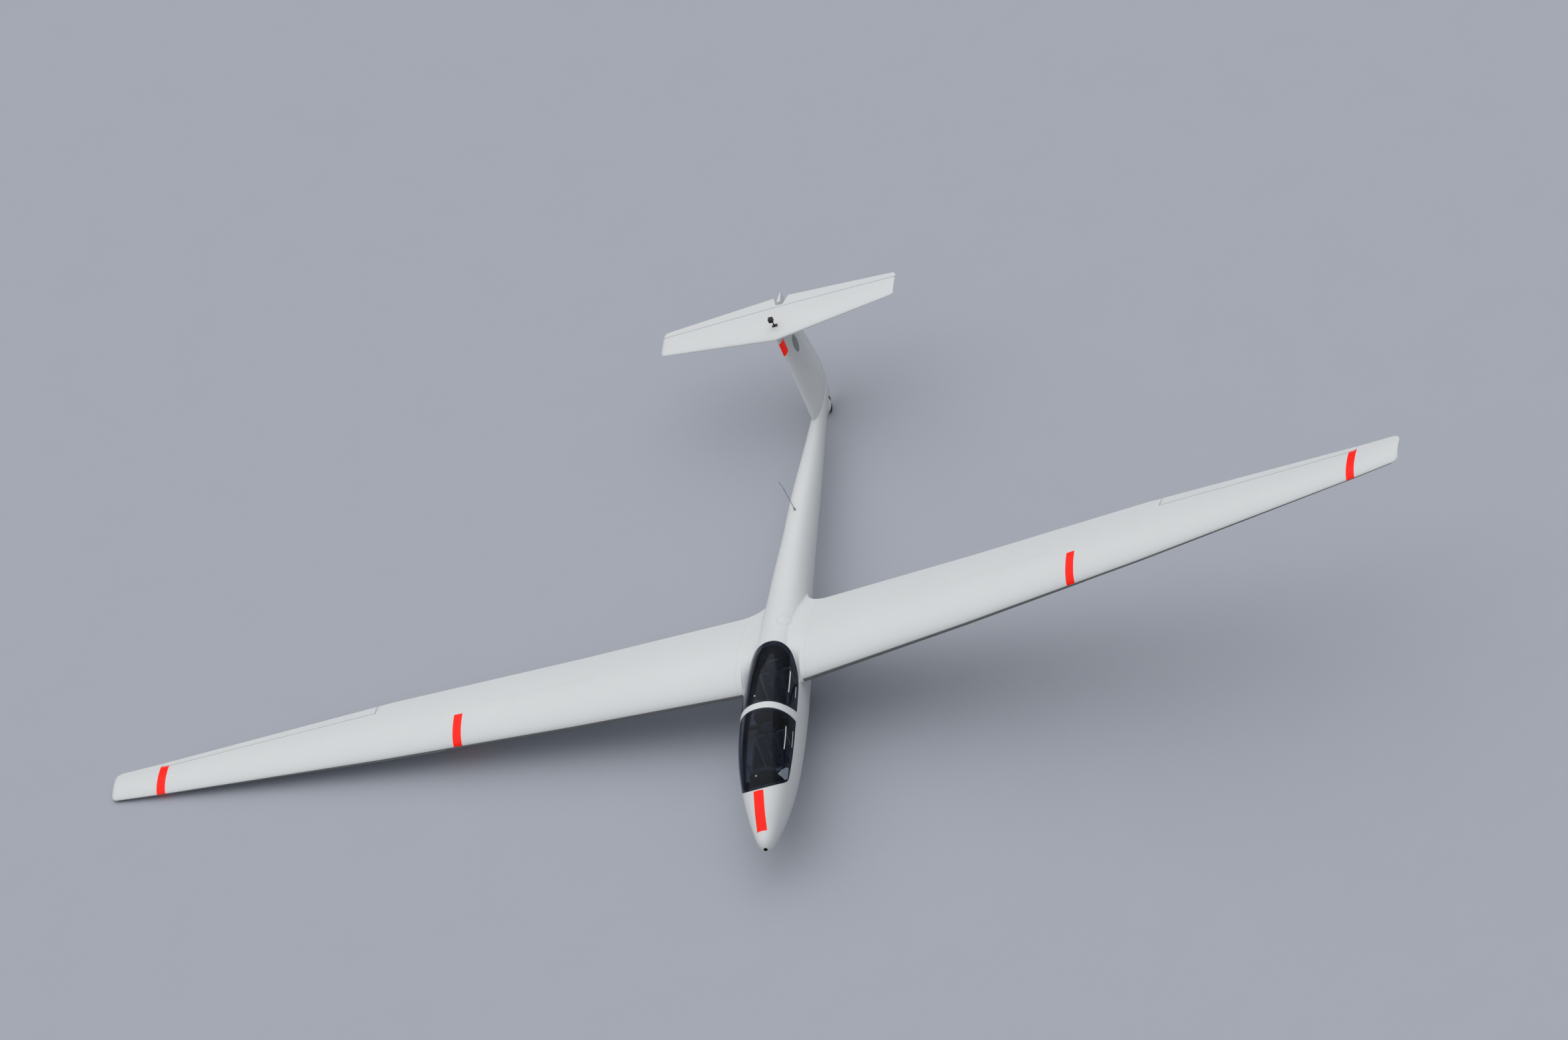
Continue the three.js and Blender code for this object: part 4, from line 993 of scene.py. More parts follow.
def makeTail():
    stabiliser = paint(tailplaneLoft("stabiliserSkin"), gelcoatTail)
    axes, noses = hingeAxes(*tailplane["hinge"]), tailplane["noses"]
    elevator = splitAtHinge(stabiliser, "elevatorSkin", axes, noses, tailplane["gap"], tailplane["endGap"])
    combine(elevator, slabPiece("cutNotch", tailplane["notch"], 1.0, 1.5, "z"))
    setDown(stabiliser, "airframe", ["stabiliser"], angle=25)
    setDown(elevator, "elevator_body", ["elevator"], angle=25)
    finPiece = paint(finLoft("finSkin", fin["rows"][0][0], fin["rows"][-1][0], 32), gelcoatFin)
    axes = hingeAxes(*fin["hinge"])
    rudder = splitAtHinge(finPiece, "rudderSkin", axes, fin["noses"], fin["gap"], fin["endGap"])
    plan = [(-1, 0), (1, 0), (1, 9), (-1, 9)]  # wider and longer than the fin
    combine(finPiece, slabPiece("cutFoot", plan, -0.6, fin["foot"], "z"))
    combine(finPiece, slabPiece("cutTop", plan, tailplane["level"], 2, "z"))
    y, z = fin["cap"]
    combine(finPiece, slabPiece("cutRear", [(y, z), (9, z), (9, 2), (y, 2)], -1, 1))
    setDown(finPiece, "airframe", ["fin"], angle=25)
    setDown(rudder, "rudder_body", ["rudder"], angle=25)
    print("tail made")


makeTail()

# Fuselage skin, with the cockpit cut out of it

wheels = {
    "main": {"y": 3.0, "z": -0.5, "radius": 0.18, "width": 0.125, "rim": 0.072, "hub": 0.046,
             "axle": 0.012, "wellSide": 0.016, "wellRound": 0.02},
    "nose": {"y": 0.95, "z": -0.462, "radius": 0.138, "width": 0.092, "rim": 0.056, "hub": 0.04,
             "axle": 0.009, "wellSide": 0.016, "wellRound": 0.02},
    "tail": {"y": 7.86, "z": -0.216, "radius": 0.1, "width": 0.056, "rim": 0.052, "hub": 0.034,
             "axle": 0.007, "wellSide": 0.008, "wellRound": 0.009},
}
wells = {"drop": 0.3, "housingSide": 0.028, "housingRound": 0.032, "housingDrop": 0.06}
cockpit = {
    "sill": [[0.664, 0.176], [0.85, 0.02], [0.905, 0.004], [1.184, 0.042], [1.442, 0.074], [1.83, 0.112],
             [2.15, 0.13], [2.4, 0.148], [2.585, 0.188], [2.74, 0.245], [2.85, 0.292], [2.93, 0.34],
             [2.985, 0.378], [3.035, 0.412]],
    "top": 0.62,
    "half": 0.6,  # wider than the fuselage
    "archFront": 1.783,
    "archRear": [[1.882, 0.62], [1.882, 0.47], [1.888, 0.33], [1.906, 0.23], [1.938, 0.1], [1.948, 0.06]],
    "archThick": 0.02,
    "glass": 0.004,
    "frameDepth": 0.024,
    "frameWidth": 0.03,
    "frameUnder": 0.0003,  # below the glass
    "gap": 0.003,
    "armPlace": 0.06,
    "pocketHalf": 0.0125,
    "pocket": [(3.0858, 0.3446), (3.0858, 0.3731), (3.0578, 0.3756), (3.0098, 0.3926), (2.9598, 0.3986),
               (2.9598, 0.2486), (3.0118, 0.2626), (3.0258, 0.2786)],
}
noseInlet = {"ends": [(0, -0.02, -0.205), (0, 0.09, -0.205)], "radius": 0.026}
finFoot = {"top": -0.001, "rings": 14, "coveGap": 0.006}


def wellSlab(name, wheel, side, extra, drop):
    # a slot round a wheel, open below
    turn = np.linspace(0, math.pi, 33)
    y, z = wheel["y"], wheel["z"]
    radius, half = wheel["radius"] + extra, wheel["width"] / 2 + side
    arch = [(y + radius * math.cos(t), z + radius * math.sin(t)) for t in turn]
    return slabPiece(name, [(y + radius, z - drop)] + arch + [(y - radius, z - drop)], -half, half)


def sillOutline(gap, smooth=4):
    # the sill as a rounded line, moved into the opening by a gap
    rows = np.array(cockpit["sill"])
    keys = np.arange(len(rows))
    eased = smoothRows([[k, *row] for k, row in zip(keys, rows)])
    line = np.array([eased(k) for k in np.linspace(0, len(rows) - 1, (len(rows) - 1) * smooth + 1)])
    run = np.gradient(line, axis=0)
    run = run / np.linalg.norm(run, axis=1)[:, None]
    line = line + np.stack([-run[:, 1], run[:, 0]], axis=1) * gap
    rear, front = line[-1][0] - 0.04, line[0][0] + 0.2
    return [tuple(p) for p in line] + [(rear, cockpit["top"]), (front, cockpit["top"])]


def cockpitSlab(name, outline):
    return slabPiece(name, outline, -cockpit["half"], cockpit["half"])


def makeFuselage():
    skin = paint(fuselageLoft("fuselageSkin", 0, fuselage["length"]), gelcoatBody)
    foot = finLoft("finFoot", fin["rows"][0][0], finFoot["top"], finFoot["rings"])
    combine(skin, paint(foot, gelcoatBody), "UNION")
    first, last = fuselage["cockpit"]
    room = fuselageLoft("cockpitRoom", first, last, fuselage["skin"])
    for word in ("main", "nose"):
        housing = wellSlab("housing", wheels[word], wells["housingSide"], wells["housingRound"],
                           wells["housingDrop"])
        combine(room, housing)
    # the cockpit's inner walls take the lining with its painted shade
    combine(skin, paint(room, liningWithPaintedShade))
    combine(skin, paint(cockpitSlab("cutOpening", sillOutline(0)), gelcoatBody))
    for wheel in wheels.values():
        well = wellSlab("cutWell", wheel, wheel["wellSide"], wheel["wellRound"], wells["drop"])
        combine(skin, paint(well, canopyFrameFinish))
    inlet = pipePiece("cutInlet", noseInlet["ends"], noseInlet["radius"], sides=32, softEnd=0.01)
    combine(skin, paint(inlet, canopyFrameFinish))
    axes = hingeAxes(*fin["hinge"])
    cove = [(share * axes["length"], radius + finFoot["coveGap"]) for share, radius in fin["noses"]]
    combine(skin, hingeBar("cutCove", axes, cove))
    combine(skin, hingeSlab("cutRudder", axes, -0.1, 0.5, 0, 0.6, -0.4, 0.4))
    for side in (1, -1):
        x, half = side * cockpit["armPlace"], cockpit["pocketHalf"]
        pocket = slabPiece("cutPocket", cockpit["pocket"], x - half, x + half)
        combine(skin, paint(pocket, canopyFrameFinish))
    setDown(skin, "airframe", ["cockpit_shell", "tail_boom"], angle=28)
    print("fuselage made")


rootWeb = {
    "stations": (0.3853, 0.7),  # across, where the wing's own lines are taken
    "reach": (0.07, 0.08, 0.12, 0.34),  # out from the fuselage's side
    "reachAt": (0, 0.5, 0.8, 1),  # share of the chord
    "start": 0.40,
    "sunk": 0.0008,  # into the wing
    "lift": (0.03, 0.06),  # up or down the fuselage's side, at the leading and the trailing edge
    "topShare": 0.3,  # the rise stays under this share of the way to the fuselage's top
    "rearFrom": 0.8,  # share of the chord, behind which the line runs back and down
    "rear": 0.27,
    "drop": 0.13,
    "underSill": 0.012,
    "easeDown": 0.05,
    "saddle": (0.4, 0.8),
    "hold": 0.6,  # how far each end keeps its direction
    "steps": 16,
    "inWall": 0.008,
}
sillAt = smoothRows(cockpit["sill"])


def rootLine(foil, far, out):
    # the fairing's curve at one point of the wing's outline, from the wing in to the fuselage
    y, z = foil
    nearAt, farAt = rootWeb["stations"]
    lead, chord, _ = rowAt(wing["rows"], nearAt)
    share = (y - lead) / chord
    corner = np.array((fuselageSide(y, z), y, z))
    start = max(corner[0] + np.interp(share, rootWeb["reachAt"], rootWeb["reach"]), rootWeb["start"])
    along = (start - nearAt) / (farAt - nearAt)
    outer = np.array((start, *(foil + along * (far - foil) - out * rootWeb["sunk"])))
    lift = np.interp(share, (0, 1), rootWeb["lift"])
    rise = out[1] * lift
    if rise > 0:
        rise = min(rise, rootWeb["topShare"] * max(fuselageAt(y)[1] - z, 0))
    rear = max(0, (share - rootWeb["rearFrom"]) / (1 - rootWeb["rearFrom"])) ** 2
    inner = np.array((0, y + out[0] * lift + rootWeb["rear"] * rear, z + rise - rootWeb["drop"] * rear))
    besideCanopy = inner[1] < cockpit["sill"][-1][0]
    limit = sillAt(inner[1])[0] - rootWeb["underSill"] if besideCanopy else farOff
    lowered = max(0, min(1, (inner[2] - limit) / rootWeb["easeDown"])) if out[1] > 0 else 0
    if lowered:
        inner[2] = limit
    inner[0] = fuselageSide(*inner[1:])
    across, up = rootWeb["saddle"]
    saddle = np.array((inner[0] + across * (outer[0] - inner[0]), y, inner[2] + up * (outer[2] - inner[2])))
    corner = corner * (1 - lowered) + saddle * lowered
    first, second = (end + rootWeb["hold"] * (corner - end) for end in (outer, inner))
    t = np.linspace(0, 1, rootWeb["steps"] + 1)[:, None]
    return outer * (1 - t) ** 3 + first * 3 * t * (1 - t) ** 2 + second * 3 * t * t * (1 - t) + inner * t**3


def makeRootFairing(word, side):
    # the smooth web between wing root and fuselage; beside the canopy it ends just under the sill
    near, far = (np.array(wingRing(x, 1))[:, 1:] for x in rootWeb["stations"])
    run = np.roll(near, -1, axis=0) - np.roll(near, 1, axis=0)
    out = np.stack([run[:, 1], -run[:, 0]], axis=1)
    out = out / np.linalg.norm(out, axis=1)[:, None]
    if out[len(out) // 4][1] < 0:  # a quarter of the way round is the upper side
        out = -out
    rings = np.array([rootLine(*row) for row in zip(near, far, out)]).transpose(1, 0, 2)
    rings = np.concatenate([rings, rings[-1:] - (rootWeb["inWall"], 0, 0)]) * (side, 1, 1)
    piece = paint(loftPiece(f"{word}RootFairing", rings), gelcoatBody)
    # faces inside the fuselage's wall take the lining with its painted shade
    piece.data.materials.append(liningWithPaintedShade)
    for face in piece.data.polygons:
        corners = [piece.data.vertices[i].co for i in face.vertices]
        if all(abs(at.x) < fuselageSide(at.y, at.z) - rootWeb["inWall"] / 2 for at in corners):
            face.material_index = 1
    setDown(piece, "airframe", angle=60)


makeFuselage()
makeRootFairing("left", 1)
makeRootFairing("right", -1)

# The arch between the canopies, and the canopies. Each is cut from the fuselage's own outside

canopyEnds = {"front": (0.5, 1.9), "rear": (1.8, 3.2)}
canopyCut = {"front": 0.4, "rear": 3.4, "low": -0.2}


def makeArch():
    hoop = paint(fuselageLoft("canopyArch", 1.6, 2.1, 0, 20), gelcoatBody)
    combine(hoop, paint(fuselageLoft("cutArch", 1.5, 2.2, cockpit["archThick"], 24), canopyFrameFinish))
    front, rear = cockpit["archFront"], cockpit["archRear"]
    outline = [(front, rear[-1][1]), (front, cockpit["top"])] + rear
    combine(hoop, cockpitSlab("keepArch", outline), "INTERSECT")
    combine(hoop, cockpitSlab("keepOpening", sillOutline(0.0003)), "INTERSECT")
    setDown(hoop, "airframe", ["canopy_arch"], angle=28)


def canopySlab(word, gap):
    arch, top, low, end = cockpit["archRear"], cockpit["top"], canopyCut["low"], canopyCut[word]
    if word == "front":
        rear = cockpit["archFront"] - gap
        outline = [(end, low), (rear, low), (rear, top), (end, top)]
    else:
        outline = [(end, top)] + [(y + gap, z) for y, z in arch] + [(arch[-1][0] + gap, low), (end, low)]
    opening = cockpitSlab("keepOpening", sillOutline(gap))
    return combine(cockpitSlab("keepCanopy", outline), opening, "INTERSECT")


def makeCanopy(word):
    first, last = canopyEnds[word]
    gap = cockpit["gap"]
    pane = paint(fuselageLoft(f"{word}CanopyGlass", first, last, 0, 40), glass)
    combine(pane, paint(fuselageLoft("cutPane", first - 0.1, last + 0.1, cockpit["glass"], 44), glass))
    combine(pane, canopySlab(word, gap), "INTERSECT")
    under = cockpit["glass"] + cockpit["frameUnder"]
    rim = paint(fuselageLoft(f"{word}CanopyFrame", first, last, under, 40), canopyFrameFinish)
    combine(rim, fuselageLoft("cutRim", first - 0.1, last + 0.1, cockpit["frameDepth"], 44))
    border = combine(canopySlab(word, gap), canopySlab(word, gap + cockpit["frameWidth"]))
    combine(rim, border, "INTERSECT")
    setDown(pane, f"{word}_canopy", [f"{word}_canopy_glass"], angle=40)
    setDown(rim, f"{word}_canopy", [f"{word}_canopy_frame"], angle=28)
    print(word, "canopy made")


makeArch()
makeCanopy("front")
makeCanopy("rear")

# Cockpit fittings. A strip frame follows a seat's pan or its back: across, along it, and out of it

seats = {
    "front": {"knee": (1.590, -0.330), "top": (1.762, 0.060), "edge": (1.270, -0.290)},
    "rear": {"knee": (2.560, -0.250), "top": (2.770, 0.140), "edge": (2.230, -0.210)},
}
seatShape = {
    "half": 0.21,
    "wall": 0.006,
    "bolster": 0.05,
    "flat": 0.7,  # share of the width
    "curve": 1.6,
    "lowEnd": 0.35,  # share of the bolster at the knee end of the back
    "under": -0.004,
    "kneeRound": 0.05,
    "board": {"half": 0.068, "above": 0.13, "below": 0.05, "rear": -0.014},
    "leg": {"x": 0.18, "half": 0.004, "floor": -0.425, "ends": (0.02, -0.01), "hole": 0.018,
            "holeLevel": -0.385},
}
pads = {
    "voxel": 0.007,
    "pressure": 4.0,
    "quality": 4,
    "frames": 20,
    "most": 0.011,  # furthest that a point may move
    "ease": 0.014,
    "wider": 0.008,
    "lower": 0.006,
    "under": 0.004,
    "thick": 0.046,
    "groove": 0.005,
    "grooveWide": 0.007,
    "channel": 0.075,
    "border": 0.035,
    "fill": 0.6,
}


def stripFrame(seat, part):
    start = np.array((0, *seat["knee"]), float)
    end = np.array((0, *(seat["top"] if part == "back" else seat["edge"])), float)
    length = float(np.linalg.norm(end - start))
    run = (end - start) / length
    out = np.array((0, -run[2], run[1])) if part == "back" else np.array((0, run[2], -run[1]))
    return {"start": start, "across": np.array((1.0, 0, 0)), "run": run, "out": out, "length": length}


def stripPoint(strip, across, along, lift):
    return strip["start"] + strip["across"] * across + strip["run"] * along + strip["out"] * lift


def stripBlock(name, strip, half, first, last, low, high, ease):
    piece = blockPiece(name, (-half, first, low), (half, last, high), ease, 3)
    axes = [strip[key] for key in ("across", "run", "out", "start")]
    turn = Matrix([[axis[i] for axis in axes] for i in range(3)] + [[0, 0, 0, 1]])
    piece.data.transform(turn)
    tidyFaces(piece)
    return piece


def inflate(piece):
    # cloth blown up a little, no point moving further than the most
    before = pointsOf(piece)
    pick(piece)
    bpy.ops.object.modifier_add(type="CLOTH")
    cloth = piece.modifiers[-1]
    cloth.settings.use_pressure = True
    cloth.settings.uniform_pressure_force = pads["pressure"]
    cloth.settings.effector_weights.gravity = 0
    cloth.settings.quality = pads["quality"]
    for step in range(1, pads["frames"] + 1):
        bpy.context.scene.frame_set(step)
    bpy.ops.object.modifier_apply(modifier=cloth.name)
    bpy.context.scene.frame_set(1)
    move = pointsOf(piece) - before
    reach = np.linalg.norm(move, axis=1)[:, None]
    setPoints(piece, before + move * np.minimum(1, pads["most"] / np.maximum(reach, 1e-9)))


def makePad(name, strip, half, first, last, high, node, channels=()):
    # channels are distances along the strip
    wider = pads["wider"]
    piece = stripBlock(name, strip, half + wider, first - wider, last + wider, pads["under"],
                       high - pads["lower"], pads["ease"])
    changeBy(piece, "REMESH", mode="VOXEL", voxel_size=pads["voxel"])
    inflate(piece)
    changeBy(piece, "SUBSURF", levels=1, render_levels=1)
    local = pointsOf(piece) - strip["start"]
    across, along, lift = (local @ strip[key] for key in ("across", "run", "out"))
    upper = np.clip((lift - 0.5 * high) / (0.3 * high), 0, 1)
    depth = np.zeros(len(local))
    for key in channels:
        depth = np.maximum(depth, np.exp(-((along - key) / pads["grooveWide"]) ** 2))
    inset = pads["border"]
    edge = np.minimum(half - inset - np.abs(across), np.minimum(along - first - inset, last - inset - along))
    border = np.exp(-(edge / pads["grooveWide"]) ** 2)
    depth = np.maximum(depth * (edge > 0), border) * upper * pads["groove"]
    setPoints(piece, pointsOf(piece) - np.outer(depth, strip["out"]))
    paint(piece, cushionCloth)
    setDown(piece, "airframe", [node], angle=60)


def makeSeatShell(word, seat):
    back, pan = stripFrame(seat, "back"), stripFrame(seat, "pan")
    centre = [(pan, along) for along in np.linspace(pan["length"], seatShape["kneeRound"], 9)]
    centre += [(back, along) for along in np.linspace(seatShape["kneeRound"], back["length"], 13)]
    across = np.linspace(-1, 1, 29)
    flat = seatShape["flat"]
    rise = seatShape["bolster"] * np.clip((np.abs(across) - flat) / (1 - flat), 0, 1) ** seatShape["curve"]
    rows = []
    for strip, along in centre:
        fade = min(1, seatShape["lowEnd"] + along / strip["length"]) if strip is back else 1
        rows.append([stripPoint(strip, a * seatShape["half"], along, seatShape["under"] + r * fade)
                     for a, r in zip(across, rise)])
    piece = sheetPiece(f"{word}SeatShell", rows)
    changeBy(piece, "SUBSURF", levels=1, render_levels=1)
    changeBy(piece, "SOLIDIFY", thickness=seatShape["wall"], offset=0)
    shape, length = seatShape["board"], back["length"]
    others = [stripBlock("board", back, shape["half"], length - shape["below"], length + shape["above"],
                         shape["rear"], seatShape["under"], 0.004)]
    shape = seatShape["leg"]
    for side in (-1, 1):
        x, half = side * shape["x"], shape["half"]
        front, rear = seat["edge"][0] + shape["ends"][0], seat["knee"][0] + shape["ends"][1]
        leg = blockPiece("leg", (x - half, front, shape["floor"]), (x + half, rear, seat["knee"][1] - 0.01))
        hole = [(x + reach, (front + rear) / 2, shape["holeLevel"]) for reach in (-0.02, 0.02)]
        others.append(combine(leg, pipePiece("cutLeg", hole, shape["hole"])))
    joinAll([paint(part, seatShell) for part in (piece, *others)])
    setDown(piece, "airframe", [f"{word}_seat_pan"], angle=40)


harness = {
    "above": 0.012,  # over the pads
    "width": 0.044,
    "thick": 0.0022,
    "buckle": 0.17,  # along the pan
    "lap": [(0.205, 0.02), (0.19, 0.05), (0.15, 0.08), (0.1, 0.12), (0.045, 0.16)],
    "disc": [(0.026, 0.002), (0.029, 0.005), (0.029, 0.012), (0.024, 0.016), (0.01, 0.017)],
    "lugs": (0.5, 2.2, 3.9, 5.6),
    "lug": [(0.02, 0.006), (0.055, 0.005)],
    "lugRadius": 0.006,
}


def strapPiece(route, side):
    # webbing through (strip, across, along, lift) rows, flat on what it lies on
    line = np.array([stripPoint(strip, side * across, along, lift) for strip, across, along, lift in route])
    lifts = np.array([strip["out"] for strip, *_ in route])
    for _ in range(3):
        line[1:-1] = (line[:-2] + 2 * line[1:-1] + line[2:]) / 4
        lifts[1:-1] = (lifts[:-2] + 2 * lifts[1:-1] + lifts[2:]) / 4
    run = np.gradient(line, axis=0)
    run = run / np.linalg.norm(run, axis=1)[:, None]
    rings = []
    for point, direction, lift in zip(line, run, lifts):
        lift = lift / np.linalg.norm(lift)
        wide = np.cross(direction, lift)
        wide = wide / np.linalg.norm(wide) * harness["width"] / 2
        upper = lift * harness["thick"]
        rings.append([point - wide, point + wide, point + wide + upper, point - wide + upper])
    return paint(loftPiece("strap", rings), webbing)


def makeHarness(word, seat):
    back, pan = stripFrame(seat, "back"), stripFrame(seat, "pan")
    over, length = pads["thick"] + harness["above"], back["length"]
    shoulder = [(back, 0.045, length + 0.03, 0.0), (back, 0.06, length - 0.01, over * 0.8)]
    shoulder += [(back, 0.07, a, over) for a in np.linspace(length - 0.05, 0.1, 7)]
    shoulder += [(pan, 0.06 - 0.3 * (a - 0.08), a, over) for a in np.linspace(0.1, harness["buckle"], 4)]
    lap = [(pan, x, a, lift) for (x, a), lift in zip(harness["lap"], (0.03, over * 0.9, over, over, over))]
    straps = [strapPiece(route, side) for side in (-1, 1) for route in (shoulder, lap)]
    setDown(joinAll(straps, f"{word}Harness"), "airframe", angle=50)
    centre, out = stripPoint(pan, 0, harness["buckle"], over), pan["out"]
    parts = [loftPiece("disc", [circleAbout(centre + out * lift, out, radius, 32)
                                for radius, lift in harness["disc"]])]
    for turn in harness["lugs"]:
        heading = pan["across"] * math.cos(turn) + pan["run"] * math.sin(turn)
        ends = [centre + heading * reach + out * lift for reach, lift in harness["lug"]]
        parts.append(pipePiece("lug", ends, harness["lugRadius"], sides=8))
    setDown(paint(joinAll(parts, f"{word}Buckle"), steel), "airframe")


def makeSeat(word):
    seat = seats[word]
    makeSeatShell(word, seat)
    back, pan = stripFrame(seat, "back"), stripFrame(seat, "pan")
    length, thick, step = back["length"], pads["thick"], pads["channel"]
    makePad(f"{word}SeatPad", pan, 0.198, thick + 0.002, pan["length"], thick, f"{word}_seat_cushion",
            np.arange(0.13, pan["length"] - 0.05, step))
    makePad(f"{word}BackPad", back, 0.192, 0.008, length - 0.004, thick, f"{word}_back_cushion",
            np.arange(0.12, length - 0.06, step))
    makePad(f"{word}HeadPad", back, 0.09, length + 0.004, length + 0.13, 0.040, f"{word}_headrest")
    makeHarness(word, seat)
    print(word, "seat made")


makeSeat("front")
makeSeat("rear")

panels = {
    "front": {"y": 1.010, "top": 0.196, "bottom": -0.120, "half": 0.172,
              "base": [(-0.05, -0.06, -0.288), (0.05, -0.001, -0.1)],
              "dials": [(-0.1, 0.115, 0.037), (0, 0.13, 0.037), (0.1, 0.115, 0.037), (-0.1, 0.025, 0.037),
                        (0, 0.04, 0.037), (0.1, 0.025, 0.037), (-0.055, -0.06, 0.026),
                        (0.055, -0.06, 0.026)]},
    "rear": {"y": 1.955, "top": 0.300, "bottom": 0.020, "half": 0.165,
             "base": [(-0.33, -0.04, 0.034), (0.33, -0.002, 0.088)],
             "dials": [(-0.1, 0.22, 0.037), (0, 0.235, 0.037), (0.1, 0.22, 0.037), (-0.1, 0.13, 0.037),
                       (0, 0.145, 0.037), (0.1, 0.13, 0.037), (0, 0.065, 0.026)]},
}
panelShape = {"depth": 0.06, "edge": 0.003, "corner": 0.6, "foot": 0.55, "footRise": 0.11}
dialShape = {  # (in from the radius, out of the panel)
    "bezel": [(0, -0.002), (0, 0.006), (0.002, 0.008), (0.006, 0.008), (0.007, 0.003), (0.007, -0.002)],
    "face": [(0.006, -0.001), (0.006, 0.0015)],
    "markLevel": 0.0018,
    "ticks": 12,
    "tickInset": 0.009,
    "tickLong": 0.006,
    "tickShort": 0.004,
    "needleInset": 0.013,
    "needleTail": 0.005,
    "screwReach": 1.22,
}


def panelOutline(panel, ease):
    half, top, bottom = panel["half"] - ease, panel["top"] - ease, panel["bottom"] + ease
    corner, foot = half * panelShape["corner"], half * panelShape["foot"]
    level = bottom + panelShape["footRise"]
    quarter = [(corner * math.cos(t), corner * math.sin(t)) for t in np.linspace(0, math.pi / 2, 12)]
    line = [(-foot, bottom), (foot, bottom), (half, level)]
    line += [(half - corner + a, top - corner + b) for a, b in quarter]
    line += [(corner - half - b, top - corner + a) for a, b in quarter]
    return line + [(-half, level)]


def headingAt(turn):
    # a direction in the panel's plane
    return np.array((math.cos(turn), 0, math.sin(turn)))


def makeDial(x, face, z, radius):
    # its bezel with four screws, its face, and the ticks and the needle on it
    centre = np.array((x, face, z))
    rings = {key: [(radius - inset, level) for inset, level in dialShape[key]] for key in ("bezel", "face")}
    rims = [paint(turnedPiece("bezel", rings["bezel"], centre, "y", 32), blackPlastic)]
    disc = paint(turnedPiece("face", rings["face"], centre, "y", 32, joined=False), dialFace)
    base = centre + (0, dialShape["markLevel"], 0)
    reach = radius - dialShape["tickInset"]
    lines = []
    for i in range(dialShape["ticks"]):
        heading = headingAt(2 * math.pi * i / dialShape["ticks"])
        long = dialShape["tickShort"] if i % 3 else dialShape["tickLong"]
        ends = [base + heading * (reach - long), base + heading * reach]
        lines.append(pipePiece("tick", ends, 0.0006, sides=4))
    heading = headingAt(1.9 + 7 * x + 5 * z)  # no two needles alike
    ends = [base - heading * dialShape["needleTail"], base + heading * (radius - dialShape["needleInset"])]
    lines.append(pipePiece("needle", ends, [0.0012, 0.0006], sides=6))
    for corner in range(4):
        at = centre + headingAt(math.pi / 4 + corner * math.pi / 2) * radius * dialShape["screwReach"]
        rims.append(paint(pipePiece("screw", [at, at + (0, 0.0015, 0)], 0.0028, sides=10), steel))
    return rims, disc, lines


def makePanel(word):
    panel = panels[word]
    face, edge = panel["y"], panelShape["edge"]
    back = face - panelShape["depth"]
    layers = [(edge, back), (0, back + edge), (0, face - edge), (edge, face)]
    rings = [[(x, y, z) for x, z in panelOutline(panel, ease)] for ease, y in layers]
    board = loftPiece(f"{word}Panel", rings)
    low, high = ((x, face + y, z) for x, y, z in panel["base"])
    base = paint(blockPiece("panelBase", low, high, 0.004), panelFinish)
    if word == "rear":
        combine(base, fuselageLoft("keepRoom", 1.5, 2.4, fuselage["skin"], 16), "INTERSECT")
    setDown(joinAll([paint(board, panelFinish), base]), "airframe", [f"{word}_instrument_panel"])
    bezels, faces, lines = [], [], []
    for x, z, radius in panel["dials"]:
        rims, disc, dialLines = makeDial(x, face, z, radius)
        bezels += rims
        faces.append(disc)
        lines += dialLines
    setDown(joinAll(bezels, f"{word}Bezels"), "airframe")
    setDown(joinAll(faces, f"{word}DialFaces"), "airframe")
    setDown(paint(joinAll(lines, f"{word}DialMarks"), dialWhite), "airframe")
    print(word, "panel made")


makePanel("front")
makePanel("rear")

sticks = {"front": (1.215, -0.430), "rear": (2.085, -0.430)}
stickShape = {  # (aft, up) from the foot
    "boot": [(0.012, 0.085), (0.02, 0.07), (0.017, 0.06), (0.027, 0.045), (0.023, 0.035), (0.034, 0.018),
             (0.03, 0.01), (0.04, -0.01), (0.04, -0.036)],  # (radius, up)
    "shaft": [(0, 0), (0.012, 0.1), (0.03, 0.22), (0.038, 0.31)],
    "shaftRadius": 0.010,
    "grip": [(0.037, 0.29), (0.034, 0.32), (0.028, 0.36), (0.02, 0.4), (0.015, 0.42)],
    "gripRadii": [0.015, 0.0175, 0.0155, 0.0175, 0.014],
    "button": [(0.015, 0.418), (0.014, 0.426)],
    "buttonRadius": 0.006,
}


def lineFrom(x, y, z, rows):
    # points from (aft, up) rows
    return [(x, y + aft, z + up) for aft, up in rows]


def makeStick(word):
    foot = (0, *sticks[word])
    gaiter = paint(turnedPiece("boot", stickShape["boot"], foot, "z", 28, joined=False), rubber)
    rod = pipePiece("shaft", lineFrom(*foot, stickShape["shaft"]), stickShape["shaftRadius"], sides=20)
    handle = pipePiece("grip", lineFrom(*foot, stickShape["grip"]), stickShape["gripRadii"], sides=20)
    button = pipePiece("button", lineFrom(*foot, stickShape["button"]), stickShape["buttonRadius"], sides=16)
    parts = [paint(rod, blackPlastic), gaiter, paint(handle, blackPlastic), paint(button, buttonRed)]
    setDown(joinAll(parts, f"{word}Stick"), "airframe", [f"{word}_stick"], angle=50)


pedals = {
    "front": {"y": 0.640, "spread": 0.09, "z": -0.25},
    "rear": {"y": 1.880, "spread": 0.15, "z": -0.23},
}
pedalShape = {
    "plate": [(-0.02, -0.06), (-0.004, -0.06), (-0.034, 0.12), (-0.05, 0.12)],  # (aft, up) from the rail
    "half": 0.042,
    "rail": 0.009,
    "ribs": 5,
    "ribHalf": 0.036,
    "ribRadius": 0.0022,
    "heel": 0.013,
    "heelHalf": 0.046,
}


